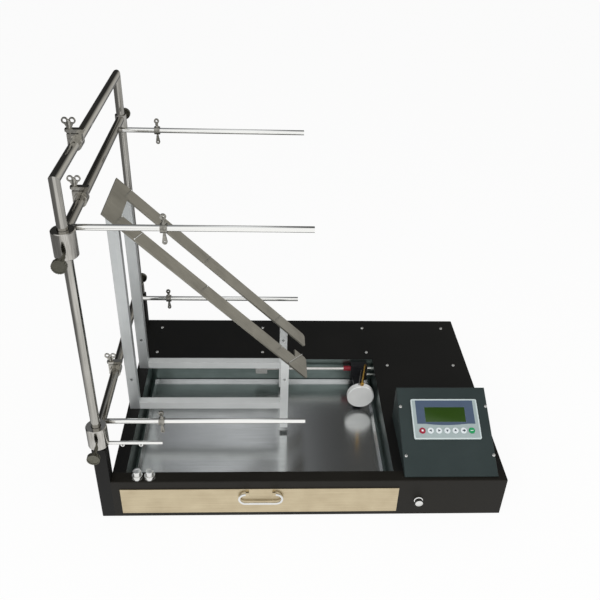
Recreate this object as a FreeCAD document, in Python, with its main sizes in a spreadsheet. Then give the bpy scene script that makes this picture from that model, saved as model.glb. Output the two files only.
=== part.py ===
import FreeCAD, Part
import os
import re
import Sketcher

# Bench tester for how fast a flame climbs a fabric specimen held at 45 degrees.
#
# Millimetres. While the pieces are described, x runs right from the left edge of the deck, y runs
# back from the front face and z runs up from the table. Each piece is then placed so that the
# origin of the whole part is the middle of its overall box, on the table.

SIZES = {
    # Base cabinet
    "base_length": 910,
    "base_depth": 635,
    "base_top": 116,
    "foot_height": 3,
    "foot_diameter": 38,
    "foot_inset": 55,
    "panel_wall": 2,
    "panel_bend": 2.5,
    "rail_width": 30,
    "rail_lip": 56,
    "deck_right": 262,
    "well_depth": 420,
    "ledge_width": 50,
    # Cover screws
    "screw_diameter": 4,
    "screw_head": 9,
    "screw_rise": 2.4,
    "screw_edge": 14,
    "screw_setback": 29,
    "screw_rear": 37,
    "screw_bevel": 1.2,
    # Vents in the back wall
    "vent_pitch": 14,
    "vent_width": 5,
    "vent_height": 46,
    # Post sockets and the post frame
    "socket_side": 30,
    "socket_height": 216,
    "socket_depth": 60,
    "post_diameter": 20,
    "post_top": 858,
    "fit_gap": 0.05,
    # Drawer and tray
    "tray_side_gap": 10,
    "runner_hold": 12,
    "tray_rear": 448,
    "tray_floor": 35,
    "tray_rim": 53,
    "tray_lip": 44,
    "tray_wall": 1.2,
    "tray_bend": 4,
    "running_gap": 0.3,
    "slot_gap": 2.5,
    "front_overlap": 11.5,
    "front_bottom": 15,
    "front_height": 78,
    "front_wall": 2,
    "bail_width": 99,
    "bail_drop": 30,
    "bail_bar": 6,
    "bail_pivot": 82,
    "bail_lug": 7.5,
    "bail_stand": 6,
    # Stand that carries the specimen holder
    "stand_front": 245,
    "tube_depth": 20,
    "tube_wall": 2,
    "upright_left": 6,
    "upright_width": 25,
    "leg_right": 406,
    "leg_width": 20,
    "leg_foot": 50,
    "cross_hole": 7,
    "cross_hole_height": 211,
    # Specimen holder: two U-shaped plates on a 45 degree slope
    "holder_slope": 45,
    "holder_length": 640,
    "holder_width": 182,
    "holder_top": 667.6,
    "holder_plate": 2,
    "holder_corner": 8,
    "slot_width": 80,
    "slot_end": 43,
    "toe_length": 42,
    "toe_reach": 30,
    "pin_diameter": 4,
    "pin_rise": 12.5,
    "pin_edge": 25,
    "pin_first": 40,
    "pin_second": 290,
    "pin_end": 103,
    "guide_diameter": 3,
    "guide_upper": 88,
    "guide_upper_lean": 14,
    "guide_upper_reach": 48,
    "guide_end": 69,
    "guide_lower_lean": 52,
    "guide_lower_reach": 81,
    # Sliding carriages on the posts
    "collar_diameter": 45,
    "collar_height": 54,
    "collar_bore": 22,
    "collar_bevel": 1.5,
    "sleeve_diameter": 28,
    "sleeve_below": 24,
    "sleeve_above": 10,
    "sleeve_bevel": 1,
    "upper_level": 741,
    "upper_rise": 11,
    "lower_level": 247,
    "lower_rise": 29,
    "rod_diameter": 12,
    "rod_end": 438,
    "rod_front": 44.5,
    "rod_rear": 540,
    "lower_rod_front": 60,
    "lower_rod_rear": 555,
    "rod_seat": 5,
    "hook_rod_diameter": 8,
    "hook_rod_end": 124,
    "hook_rod_height": 225,
    "knob_diameter": 28,
    "knob_thickness": 9,
    "knob_stand": 58,
    "knob_drop": 34,
    "lower_knob_drop": 16,
    "rear_knob_drop": 7,
    "knob_boss": 3,
    "knob_rim": 2.5,
    "knob_dish": 1,
    "flute_depth": 0.9,
    "flute_width": 2.4,
    "knob_stem": 8,
    "flutes": 20,
    "hook_ring": 9,
    "hook_ring_wall": 2,
    "hook_ring_first": 36,
    "hook_ring_second": 76,
    # Split clamps on the crossbars
    "clamp_outer": 27,
    "clamp_length": 25,
    "clamp_width": 36,
    "clamp_depth": 12,
    "clamp_rise": 27,
    "clamp_cap": 5,
    "clamp_slit": 2,
    "clamp_heel": 3,
    "clamp_nose": 5,
    "clamp_nose_diameter": 8,
    "clamp_bridge": 10,
    "wing_rise": 22,
    "wing_span": 27,
    "wing_wall": 3,
    "wing_ring": 13,
    "wing_hole": 7.5,
    "wing_hub": 8,
    "wing_stem": 5,
    "wing_offset": 9,
    "top_clamp": 187,
    "upper_clamp": 163,
    "lower_clamp": 241,
    # Thread eyes on the rods
    "eye_ring": 19,
    "eye_length": 13,
    "eye_rise": 23,
    "eye_outer": 12,
    "eye_hole": 5,
    "eye_wall": 4,
    "eye_neck": 5,
    "eye_bead": 7,
    "eye_cone": 11,
    "tag_drop": 34,
    "tag_outer": 10,
    "tag_stem": 4,
    "upper_front_eye": 160,
    "upper_rear_eye": 85,
    "lower_front_eye": 118,
    "lower_rear_eye": 77,
    # Burner on its carriage
    "burner_inset": 43.5,
    "burner_back": 336,
    "burner_up": 82,
    "drum_diameter": 72,
    "drum_depth": 18,
    "drum_hub": 14,
    "drum_bevel": 1.5,
    "burner_tube_diameter": 6.5,
    "burner_reach": 104,
    "burner_lean": 3,
    "burner_bore": 12,
    "burner_nut": 10.4,
    "burner_nut_height": 7,
    "burner_nut_taper": 2,
    "igniter_diameter": 3,
    "igniter_gap": 8,
    "igniter_reach": 86,
    "arm_wall": 8,
    "arm_width": 34,
    "guide_rod_diameter": 10,
    "guide_rod_back": 438,
    "guide_rod_up": 92,
    "guide_rod_left": 321,
    "bracket_length": 32,
    "bracket_bottom": 84,
    "bracket_front": 424,
    "carriage_inset": 61,
    "carriage_length": 46,
    "carriage_bottom": 57,
    "carriage_rise": 14,
    "bumper_length": 20,
    "bumper_diameter": 14,
    "actuator_diameter": 34,
    "actuator_length": 196,
    "actuator_up": 70,
    "actuator_rod": 8,
    "actuator_bracket": 14,
    "actuator_setback": 6,
    # Console
    "console_gap": 23,
    "console_length": 220,
    "console_front": 10.6,
    "console_depth": 205.4,
    "console_lip": 3,
    "console_slope": 24.75,
    "display_left": 31,
    "display_front": 88.5,
    "display_length": 162.5,
    "display_width": 103,
    "display_rise": 3,
    "display_corner": 4,
    "display_body": 30,
    "display_flange": 6,
    "window_inset": 32.5,
    "window_up": 48,
    "window_length": 97.8,
    "window_width": 34,
    "window_depth": 1.2,
    "key_up": 21.5,
    "key_pitch": 19.9,
    "key_diameter": 15,
    "key_rise": 1.6,
    "key_bevel": 0.6,
    "key_travel": 1,
    # Knobs on the front
    "valve_knob_diameter": 24,
    "valve_knob_height": 22,
    "valve_knob_first": 59,
    "valve_knob_second": 87,
    "valve_knob_back": 14,
    "valve_stem": 12,
    "power_knob_gap": 60,
    "power_knob_up": 54,
    "power_knob_diameter": 21,
    "power_knob_depth": 14,
    "power_stem": 10,
    "power_knob_dish": 1,
    # Gas, spark and power pieces
    "inlet_setback": 150,
    "inlet_up": 60,
    "inlet_diameter": 10,
    "inlet_shank": 12,
    "inlet_nut": 6,
    "inlet_reach": 25,
    "power_inlet_setback": 60,
    "power_inlet_up": 60,
    "power_inlet_length": 48,
    "power_inlet_height": 28,
    "power_inlet_depth": 26,
    "power_inlet_flange": 2,
    "power_inlet_rim": 3.5,
    "socket_inset": 12,
    "socket_margin": 4,
    "socket_recess": 18,
    "valve_setback": 180,
    "valve_back": 500,
    "valve_side": 42,
    "igniter_box_left": 120,
    "igniter_box_back": 510,
    "igniter_box_length": 96,
    "igniter_box_width": 58,
    "igniter_box_height": 42,
    "igniter_box_corner": 4,
    "terminal_diameter": 16,
    "terminal_height": 14,
}

# Places worked out from the sizes
FOOTPRINT_X = "(base_length - socket_side / 2 - collar_diameter / 2) / 2"
FOOTPRINT_Y = "base_depth / 2"
WELL_LEFT = "rail_width"
WELL_RIGHT = "(base_length - deck_right)"
WELL_BACK = "(rail_width + well_depth)"
WELL_MIDDLE = f"({WELL_LEFT} / 2 + {WELL_RIGHT} / 2)"
FLOOR = "(foot_height + panel_wall)"
DECK_UNDER = "(base_top - panel_wall)"
POST_X = "(-socket_side / 2)"
FRONT_POST = "(socket_side / 2)"
REAR_POST = "(base_depth - socket_side / 2)"
POST_BAR = "(post_top - post_diameter / 2)"
REAR_TUBE = "(stand_front + holder_width - tube_depth)"
HOLDER_UNDER = "(holder_top - 2 * holder_plate / cos(holder_slope * 1deg))"
SIN = "sin(console_slope * 1deg)"
COS = "cos(console_slope * 1deg)"
CONSOLE_LEFT = f"({WELL_RIGHT} + console_gap)"
POWER_KNOB_X = f"({WELL_RIGHT} + power_knob_gap)"
BURNER_X = f"({WELL_RIGHT} - burner_inset)"
CARRIAGE_LEFT = f"({WELL_RIGHT} - carriage_inset)"
TRAY_LEFT = f"({WELL_LEFT} + tray_side_gap)"
TRAY_RIGHT = f"({WELL_RIGHT} - tray_side_gap)"
GAS_X = "(base_length - inlet_setback)"
POWER_X = "(base_length - power_inlet_setback)"
VALVE_X = "(base_length - valve_setback)"

doc = FreeCAD.newDocument("flammability_tester")
sheet = doc.addObject("Spreadsheet::Sheet", "Sizes")
for row, (alias, number) in enumerate(SIZES.items(), start=1):
    sheet.set(f"A{row}", alias)
    sheet.set(f"B{row}", str(number))
    sheet.setAlias(f"B{row}", alias)
doc.recompute()

WORD = re.compile(r"[A-Za-z_]\w*")
nodes = []


def bound(text):
    """The same expression, with each size read from its cell of the sheet."""
    def named(word):
        """The word as the expression needs it."""
        return "Sizes." + word.group() if word.group() in SIZES else word.group()
    return WORD.sub(named, str(text))


def number_of(text):
    return float(sheet.evalExpression(bound(text)))


def bind(item, **properties):
    for name, text in properties.items():
        item.setExpression(name, bound(text))


# Bodies and their features

def new_body(label, x="0", y="0", z="0", axis=None, angle="0"):
    """An empty piece whose own origin stands at x, y, z, turned about axis by angle degrees."""
    body = doc.addObject("PartDesign::Body", label)
    body.Label = label
    body.AllowCompound = True
    if axis:
        body.Placement.Rotation = FreeCAD.Rotation(FreeCAD.Vector(*axis), 1)
        body.setExpression(".Placement.Rotation.Angle", bound(angle))
    body.setExpression(".Placement.Base.x", bound(f"{x} - {FOOTPRINT_X}"))
    body.setExpression(".Placement.Base.y", bound(f"{y} - {FOOTPRINT_Y}"))
    body.setExpression(".Placement.Base.z", bound(z))
    nodes.append(body)
    return body


def rectangle(left, low, right, high):
    return [(left, low), (right, low), (right, high), (left, high)]


def circle(x, y, diameter):
    return (x, y, diameter)


def pin_point(drawing, line, place, x, y=None):
    """Hold a point of the drawing at x, and at y where it is given, both bound to the sheet."""
    for kind, text in (("DistanceX", x), ("DistanceY", y)):
        if text is None:
            continue
        held = drawing.addConstraint(Sketcher.Constraint(kind, line, place, number_of(text)))
        drawing.setExpression(f"Constraints[{held}]", bound(text))


def draw_outline(drawing, points):
    """A closed ring of lines through the points."""
    first = drawing.GeometryCount
    corners = [FreeCAD.Vector(number_of(x), number_of(y), 0) for x, y in points]
    for here, there in zip(corners, corners[1:] + corners[:1]):
        drawing.addGeometry(Part.LineSegment(here, there))
    for step in range(len(points)):
        following = (step + 1) % len(points)
        drawing.addConstraint(Sketcher.Constraint("Coincident", first + step, 2, first + following, 1))
    for step, (x, y) in enumerate(points):
        pin_point(drawing, first + step, 1, x, y)


def draw_route(drawing, points):
    """A chain of lines through the points, open at both ends."""
    corners = [FreeCAD.Vector(number_of(x), number_of(y), 0) for x, y in points]
    for here, there in zip(corners, corners[1:]):
        drawing.addGeometry(Part.LineSegment(here, there))
    for step in range(len(points) - 2):
        drawing.addConstraint(Sketcher.Constraint("Coincident", step, 2, step + 1, 1))
    for step, (x, y) in enumerate(points[:-1]):
        pin_point(drawing, step, 1, x, y)
    pin_point(drawing, len(points) - 2, 2, *points[-1])


def draw_circle(drawing, x, y, diameter):
    middle = FreeCAD.Vector(number_of(x), number_of(y), 0)
    line = drawing.addGeometry(Part.Circle(middle, FreeCAD.Vector(0, 0, 1), number_of(diameter) / 2))
    pin_point(drawing, line, 3, x, y)
    held = drawing.addConstraint(Sketcher.Constraint("Diameter", line, number_of(diameter)))
    drawing.setExpression(f"Constraints[{held}]", bound(diameter))


def draw(body, plane, start, loops):
    """A sketch on a plane of the body, moved along +X, +Y or +Z to start."""
    drawing = body.newObject("Sketcher::SketchObject", f"{body.Label}_drawing")
    role = f"{plane}_Plane"
    planes = [feature for feature in body.Origin.OriginFeatures if feature.Role == role]
    drawing.AttachmentSupport = [(plane, "") for plane in planes]
    drawing.MapMode = "FlatFace"
    along = f"-({start})" if plane == "XZ" else start
    drawing.setExpression(".AttachmentOffset.Base.z", bound(along))
    for loop in loops:
        if isinstance(loop, tuple):
            draw_circle(drawing, *loop)
        else:
            draw_outline(drawing, loop)
    return drawing


def add(body, plane, start, length, *loops):
    """Material between start and start + length along the plane's axis."""
    pad = body.newObject("PartDesign::Pad", f"{body.Label}_pad")
    pad.Profile = draw(body, plane, start, loops)
    pad.Reversed = plane == "XZ"
    bind(pad, Length=length)
    body.Tip = pad
    return pad


def cut(body, plane, start, length, *loops):
    """A cut between start and start + length along the plane's axis."""
    pocket = body.newObject("PartDesign::Pocket", f"{body.Label}_pocket")
    pocket.Profile = draw(body, plane, start, loops)
    pocket.Reversed = plane != "XZ"
    bind(pocket, Length=length)
    body.Tip = pocket
    return pocket


def turn(body, points, kind="Revolution"):
    """A turned form about the body's own Z axis, from its radius and height at each corner."""
    turned = body.newObject(f"PartDesign::{kind}", f"{body.Label}_turned")
    drawing = draw(body, "XZ", "0", [points])
    turned.Profile = drawing
    turned.ReferenceAxis = (drawing, ["V_Axis"])
    turned.Angle = 360
    body.Tip = turned
    return turned


def around(body, feature, count, axis="Z_Axis"):
    """Copies of a feature, evenly spaced round an axis of the body."""
    pattern = body.newObject("PartDesign::PolarPattern", f"{body.Label}_pattern")
    pattern.Originals = [feature]
    pattern.Axis = ([item for item in body.Origin.OriginFeatures if item.Role == axis][0], [""])
    pattern.Angle = 360
    bind(pattern, Occurrences=count)
    body.Tip = pattern
    return pattern


def dress(body, kind, size, wanted):
    """A fillet or chamfer on each edge of the body's last feature that wanted picks."""
    doc.recompute()
    base = body.Tip
    picked = [f"Edge{step}" for step, edge in enumerate(base.Shape.Edges, start=1) if wanted(edge)]
    if not picked:
        raise RuntimeError(f"{body.Label}: no edge to {kind.lower()}")
    dressed = body.newObject(f"PartDesign::{kind}", f"{body.Label}_{kind.lower()}")
    dressed.Base = (base, picked)
    bind(dressed, **{"Radius" if kind == "Fillet" else "Size": size})
    body.Tip = dressed
    return dressed


def straight(edge, direction):
    """Whether an edge is straight and runs along a direction."""
    if edge.Curve.TypeId != "Part::GeomLine":
        return False
    return abs(edge.tangentAt(edge.FirstParameter).dot(FreeCAD.Vector(*direction))) > 0.999


def middle(edge):
    return edge.CenterOfMass


def same(first, text):
    return abs(first - number_of(text)) < 0.01


# Cabinet: a folded front, a wrap of the other three sides, a cover, a bottom and a lined well

front_panel = new_body("front_panel")
add(front_panel, "YZ", "0", "base_length", [
    ("0", "foot_height"),
    ("panel_wall", "foot_height"),
    ("panel_wall", DECK_UNDER),
    ("rail_width - panel_wall", DECK_UNDER),
    ("rail_width - panel_wall", "base_top - rail_lip"),
    ("rail_width", "base_top - rail_lip"),
    ("rail_width", "base_top"),
    ("0", "base_top"),
])
dress(front_panel, "Fillet", "panel_bend", lambda edge: straight(edge, (1, 0, 0))
      and same(middle(edge).y, "0") and same(middle(edge).z, "base_top"))
cut(front_panel, "XZ", "0", "panel_wall", rectangle(
    f"{TRAY_LEFT} - slot_gap", "tray_floor - tray_wall - slot_gap",
    f"{TRAY_RIGHT} + slot_gap", "tray_rim + slot_gap"))
cut(front_panel, "XZ", "0", "panel_wall",
    circle(POWER_KNOB_X, "power_knob_up", "knob_stem + 2 * fit_gap"))
cut(front_panel, "XY", DECK_UNDER, "panel_wall",
    circle("valve_knob_first", "valve_knob_back", "knob_stem + 2 * fit_gap"),
    circle("valve_knob_second", "valve_knob_back", "knob_stem + 2 * fit_gap"))
for end in ("0", "base_length - panel_wall"):
    cut(front_panel, "YZ", end, "panel_wall", rectangle(
        "panel_wall", "base_top - rail_lip", "rail_width", DECK_UNDER))

wall_wrap = new_body("wall_wrap")
add(wall_wrap, "XY", "foot_height", "base_top - foot_height", [
    ("0", "panel_wall"),
    ("panel_wall", "panel_wall"),
    ("panel_wall", "base_depth - panel_wall"),
    ("base_length - panel_wall", "base_depth - panel_wall"),
    ("base_length - panel_wall", "panel_wall"),
    ("base_length", "panel_wall"),
    ("base_length", "base_depth"),
    ("0", "base_depth"),
])
dress(wall_wrap, "Fillet", "panel_bend", lambda edge: straight(edge, (0, 0, 1))
      and same(middle(edge).y, "base_depth"))
cut(wall_wrap, "XY", DECK_UNDER, "panel_wall",
    rectangle("0", "panel_wall", "panel_wall", "rail_width"),
    rectangle("base_length - panel_wall", "panel_wall", "base_length", "rail_width"))
add(wall_wrap, "XY", DECK_UNDER, "panel_wall", rectangle(
    "panel_wall", "rail_width", WELL_LEFT, "base_depth - panel_wall"))
add(wall_wrap, "XY", f"{DECK_UNDER} - panel_wall", "panel_wall", [
    ("panel_wall", f"{WELL_BACK} + panel_wall + ledge_width"),
    ("rail_width + ledge_width", f"{WELL_BACK} + panel_wall + ledge_width"),
    ("rail_width + ledge_width", "base_depth - panel_wall - ledge_width"),
    ("base_length - panel_wall - ledge_width", "base_depth - panel_wall - ledge_width"),
    ("base_length - panel_wall - ledge_width", "rail_width"),
    ("base_length - panel_wall", "rail_width"),
    ("base_length - panel_wall", "base_depth - panel_wall"),
    ("panel_wall", "base_depth - panel_wall"),
])
cut(wall_wrap, "XZ", "base_depth - panel_wall", "panel_wall",
    circle(GAS_X, "inlet_up", "inlet_diameter + 2 * fit_gap"),
    rectangle(f"{POWER_X} - power_inlet_length / 2", "power_inlet_up - power_inlet_height / 2",
              f"{POWER_X} + power_inlet_length / 2", "power_inlet_up + power_inlet_height / 2"))
for step in range(-4, 5):
    vent = f"(base_length / 2 + {step} * vent_pitch)"
    cut(wall_wrap, "XZ", "base_depth - panel_wall", "panel_wall", rectangle(
        f"{vent} - vent_width / 2", "base_top / 2 - vent_height / 2",
        f"{vent} + vent_width / 2", "base_top / 2 + vent_height / 2"))

bottom_plate = new_body("bottom_plate")
add(bottom_plate, "XY", "foot_height", "panel_wall", rectangle(
    "panel_wall", "panel_wall", "base_length - panel_wall", "base_depth - panel_wall"))

SCREW_PLACES = [
    ("rail_width + screw_edge", "base_depth - panel_wall - screw_rear"),
    ("rail_width + screw_edge", f"{WELL_BACK} + screw_setback"),
    (WELL_MIDDLE, "base_depth - panel_wall - screw_rear"),
    (WELL_MIDDLE, f"{WELL_BACK} + screw_setback"),
    (f"{WELL_RIGHT} - screw_edge", "base_depth - panel_wall - screw_rear"),
    (f"{WELL_RIGHT} - screw_edge", f"{WELL_BACK} + screw_setback"),
    (f"{WELL_RIGHT} + panel_wall + ledge_width - screw_edge", f"{WELL_BACK} - screw_setback"),
    ("base_length - panel_wall - screw_rear", f"{WELL_BACK} - screw_setback"),
    ("base_length - panel_wall - screw_rear", "base_depth - panel_wall - screw_rear"),
]

deck_cover = new_body("deck_cover")
add(deck_cover, "XY", DECK_UNDER, "panel_wall", [
    (WELL_LEFT, WELL_BACK),
    (WELL_RIGHT, WELL_BACK),
    (WELL_RIGHT, "rail_width"),
    ("base_length - panel_wall", "rail_width"),
    ("base_length - panel_wall", "base_depth - panel_wall"),
    (WELL_LEFT, "base_depth - panel_wall"),
])
cut(deck_cover, "XY", DECK_UNDER, "panel_wall",
    *[circle(x, y, "screw_diameter + 2 * fit_gap") for x, y in SCREW_PLACES])

cover_screws = new_body("cover_screws")
add(cover_screws, "XY", DECK_UNDER, "panel_wall",
    *[circle(x, y, "screw_diameter") for x, y in SCREW_PLACES])
add(cover_screws, "XY", "base_top", "screw_rise", *[circle(x, y, "screw_head") for x, y in SCREW_PLACES])
dress(cover_screws, "Chamfer", "screw_bevel", lambda edge: edge.Curve.TypeId == "Part::GeomCircle"
      and same(middle(edge).z, "base_top + screw_rise"))

well_liner = new_body("well_liner")
add(well_liner, "XY", FLOOR, f"{DECK_UNDER} - {FLOOR}", [
    ("rail_width - panel_wall", "rail_width"),
    (WELL_LEFT, "rail_width"),
    (WELL_LEFT, WELL_BACK),
    (WELL_RIGHT, WELL_BACK),
    (WELL_RIGHT, "rail_width"),
    (f"{WELL_RIGHT} + panel_wall", "rail_width"),
    (f"{WELL_RIGHT} + panel_wall", f"{WELL_BACK} + panel_wall"),
    ("rail_width - panel_wall", f"{WELL_BACK} + panel_wall"),
])
add(well_liner, "XY", f"{DECK_UNDER} - panel_wall", "panel_wall", [
    ("rail_width", f"{WELL_BACK} + panel_wall"),
    (f"{WELL_RIGHT} + panel_wall", f"{WELL_BACK} + panel_wall"),
    (f"{WELL_RIGHT} + panel_wall", "rail_width"),
    (f"{WELL_RIGHT} + panel_wall + ledge_width", "rail_width"),
    (f"{WELL_RIGHT} + panel_wall + ledge_width", f"{WELL_BACK} + ledge_width"),
    ("rail_width", f"{WELL_BACK} + ledge_width"),
])
RUNNER_TOP = "(tray_floor - tray_wall - running_gap)"
RUNNER_REACH = "(tray_side_gap + runner_hold)"
add(well_liner, "XY", f"{RUNNER_TOP} - panel_wall", "panel_wall", rectangle(
    WELL_LEFT, "rail_width", f"{WELL_LEFT} + {RUNNER_REACH}", WELL_BACK))
add(well_liner, "XY", f"{RUNNER_TOP} - panel_wall", "panel_wall", rectangle(
    f"{WELL_RIGHT} - {RUNNER_REACH}", "rail_width", WELL_RIGHT, WELL_BACK))
cut(well_liner, "YZ", WELL_RIGHT, "panel_wall",
    circle("guide_rod_back", "actuator_up", "actuator_rod + 2 * fit_gap"),
    circle("guide_rod_back", "guide_rod_up", "guide_rod_diameter + 2 * fit_gap"))

feet = new_body("feet")
FOOT_PLACES = [(x, y) for x in ("foot_inset", "base_length - foot_inset")
               for y in ("foot_inset", "base_depth - foot_inset")]
add(feet, "XY", "0", "foot_height", *[circle(x, y, "foot_diameter") for x, y in FOOT_PLACES])
dress(feet, "Chamfer", "foot_height / 4", lambda edge: edge.Curve.TypeId == "Part::GeomCircle"
      and same(middle(edge).z, "0"))

# Post frame: two square sockets outside the left side carry a tall frame of round tube

post_sockets = new_body("post_sockets")
SOCKET_BASES = ["0", "base_depth - socket_side"]
add(post_sockets, "XY", "foot_height", "socket_height - foot_height",
    *[rectangle("-socket_side", low, "0", f"{low} + socket_side") for low in SOCKET_BASES])
dress(post_sockets, "Fillet", "panel_bend", lambda edge: straight(edge, (0, 0, 1))
      and same(middle(edge).x, "-socket_side"))
cut(post_sockets, "XY", "socket_height - socket_depth", "socket_depth",
    circle(POST_X, FRONT_POST, "post_diameter + 2 * fit_gap"),
    circle(POST_X, REAR_POST, "post_diameter + 2 * fit_gap"))

post_frame = new_body("post_frame")
POST_FOOT = "(socket_height - socket_depth)"
post_route = draw(post_frame, "YZ", POST_X, [])
draw_route(post_route, [
    (FRONT_POST, POST_FOOT),
    (FRONT_POST, POST_BAR),
    (REAR_POST, POST_BAR),
    (REAR_POST, POST_FOOT),
])
post_tube = post_frame.newObject("PartDesign::AdditivePipe", "post_tube")
post_tube.Profile = draw(post_frame, "XY", POST_FOOT, [circle(POST_X, FRONT_POST, "post_diameter")])
post_tube.Spine = post_route
post_tube.Transition = "Right corner"
post_frame.Tip = post_tube

# Stand: two uprights on the left rail, two bars over the well and two legs over the tray

stand_uprights = new_body("stand_uprights")
for start in ("stand_front", REAR_TUBE):
    add(stand_uprights, "XZ", start, "tube_depth", [
        ("upright_left", "base_top"),
        ("upright_left + upright_width", "base_top"),
        ("upright_left + upright_width", f"{HOLDER_UNDER} - upright_left - upright_width"),
        ("upright_left", f"{HOLDER_UNDER} - upright_left"),
    ])
dress(stand_uprights, "Fillet", "tube_wall / 2", lambda edge: straight(edge, (0, 0, 1)))
cut(stand_uprights, "XZ", "stand_front", f"{REAR_TUBE} + tube_depth - stand_front",
    circle("upright_left + upright_width / 2", "cross_hole_height", "cross_hole"))

stand_bars = new_body("stand_bars")
for start in ("stand_front", REAR_TUBE):
    add(stand_bars, "XZ", start, "tube_depth", rectangle(
        "upright_left + upright_width", "base_top", "leg_right - leg_width", "base_top + leg_width"))
    add(stand_bars, "XZ", start, "tube_depth", [
        ("leg_right - leg_width", "leg_foot"),
        ("leg_right", "leg_foot"),
        ("leg_right", f"{HOLDER_UNDER} - leg_right"),
        ("leg_right - leg_width", f"{HOLDER_UNDER} - leg_right + leg_width"),
    ])
cut(stand_bars, "XZ", "stand_front", f"{REAR_TUBE} + tube_depth - stand_front",
    circle("leg_right - leg_width / 2", "cross_hole_height", "cross_hole"))
for start in ("stand_front", REAR_TUBE):
    cut(stand_bars, "XY", "leg_foot", "base_top - leg_foot", rectangle(
        "leg_right - leg_width + tube_wall", f"{start} + tube_wall",
        "leg_right - tube_wall", f"{start} + tube_depth - tube_wall"))

# Specimen holder, in its own frame: x down the slope, y across, z out of its upper face

HOLDER = dict(x="0", y="stand_front", z="holder_top", axis=(0, 1, 0), angle="holder_slope")
SLOT_FRONT = "((holder_width - slot_width) / 2)"
SLOT_REAR = "((holder_width + slot_width) / 2)"
PINS = [(along, across) for along in ("pin_first", "pin_second", "holder_length - pin_end")
        for across in ("pin_edge", "holder_width - pin_edge")]


def holder_outline():
    """The U of the specimen holder, with the front leg's toe reaching into the slot."""
    return [
        ("0", "0"),
        ("holder_length", "0"),
        ("holder_length", f"{SLOT_FRONT} + toe_reach"),
        ("holder_length - toe_length", f"{SLOT_FRONT} + toe_reach"),
        ("holder_length - toe_length", SLOT_FRONT),
        ("slot_end", SLOT_FRONT),
        ("slot_end", SLOT_REAR),
        ("holder_length", SLOT_REAR),
        ("holder_length", "holder_width"),
        ("0", "holder_width"),
    ]


def round_toes(body):
    dress(body, "Fillet", "holder_corner", lambda edge: straight(edge, (0, 0, 1))
          and same(middle(edge).x, "holder_length"))


holder_lower = new_body("holder_lower", **HOLDER)
add(holder_lower, "XY", "-2 * holder_plate", "holder_plate", holder_outline())
round_toes(holder_lower)
cut(holder_lower, "XY", "-2 * holder_plate", "holder_plate",
    *[circle(x, y, "pin_diameter + 2 * fit_gap") for x, y in PINS])

holder_pins = new_body("holder_pins", **HOLDER)
add(holder_pins, "XY", "-2 * holder_plate", "2 * holder_plate + pin_rise",
    *[circle(x, y, "pin_diameter") for x, y in PINS])
dress(holder_pins, "Chamfer", "pin_diameter / 5", lambda edge: edge.Curve.TypeId == "Part::GeomCircle"
      and same(middle(edge).z, "pin_rise"))

holder_upper = new_body("holder_upper", **HOLDER)
add(holder_upper, "XY", "-holder_plate", "holder_plate", holder_outline())
round_toes(holder_upper)
cut(holder_upper, "XY", "-holder_plate", "holder_plate",
    *[circle(x, y, "pin_diameter + 2 * fit_gap") for x, y in PINS])

# Two slanted rods on the front leg hold the marker threads off the plate
thread_guides = new_body("thread_guides", **HOLDER)
for along, lean, reach in (("guide_upper", "guide_upper_lean", "guide_upper_reach"),
                           ("(holder_length - guide_end)", "guide_lower_lean", "guide_lower_reach")):
    guide_route = draw(thread_guides, "XY", "guide_diameter / 2", [])
    draw_route(guide_route, [(along, "0"), (f"{along} + {lean}", reach)])
    guide = thread_guides.newObject("PartDesign::AdditivePipe", "thread_guide")
    ring = circle(along, "guide_diameter / 2", "guide_diameter")
    guide.Profile = draw(thread_guides, "XZ", "0", [ring])
    guide.Spine = guide_route
    thread_guides.Tip = guide


# Carriages: a collar and a sleeve on the posts, a crossbar between them and two rods to the right

HOLE = "(knob_stem + 2 * fit_gap)"
CROSSBAR_SEAT = f"({FRONT_POST} + collar_diameter / 2 - rod_seat)"


def carriage_collars(label, level, rise, drop):
    """The front collar and the rear sleeve of one carriage, with their bores."""
    collars = new_body(label)
    foot = f"({level} + {rise} - collar_height)"
    add(collars, "XY", foot, "collar_height", circle(POST_X, FRONT_POST, "collar_diameter"))
    dress(collars, "Chamfer", "collar_bevel", lambda edge: edge.Curve.TypeId == "Part::GeomCircle")
    add(collars, "XY", f"{level} - sleeve_below", "sleeve_below + sleeve_above",
        circle(POST_X, REAR_POST, "sleeve_diameter"))
    dress(collars, "Chamfer", "sleeve_bevel", lambda edge: edge.Curve.TypeId == "Part::GeomCircle"
          and same(middle(edge).y, REAR_POST))
    cut(collars, "XY", foot, "collar_height", circle(POST_X, FRONT_POST, "collar_bore"))
    cut(collars, "XY", f"{level} - sleeve_below", "sleeve_below + sleeve_above",
        circle(POST_X, REAR_POST, "collar_bore"))
    cut(collars, "XZ", CROSSBAR_SEAT, "collar_diameter / 2",
        circle(POST_X, level, "post_diameter + 2 * fit_gap"))
    cut(collars, "XZ", f"{FRONT_POST} - collar_diameter / 2", "collar_diameter / 2",
        circle(POST_X, f"{level} - {drop}", HOLE))
    cut(collars, "XZ", REAR_POST, "sleeve_diameter / 2",
        circle(POST_X, f"{level} - rear_knob_drop", HOLE))
    return collars


def carriage_bars(label, level, rod_front, rod_rear):
    """The crossbar, coped round the rear sleeve, and its two rods, each let into the bar."""
    bars = new_body(label)
    add(bars, "XZ", CROSSBAR_SEAT, f"{REAR_POST} - {CROSSBAR_SEAT}",
        circle(POST_X, level, "post_diameter"))
    cut(bars, "XY", f"{level} - post_diameter / 2", "post_diameter",
        circle(POST_X, REAR_POST, "sleeve_diameter + 2 * fit_gap"))
    root = f"({POST_X} + post_diameter / 2 - rod_seat)"
    add(bars, "YZ", root, f"rod_end - {root}", circle(rod_front, level, "rod_diameter"),
        circle(rod_rear, level, "rod_diameter"))
    return bars


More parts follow.
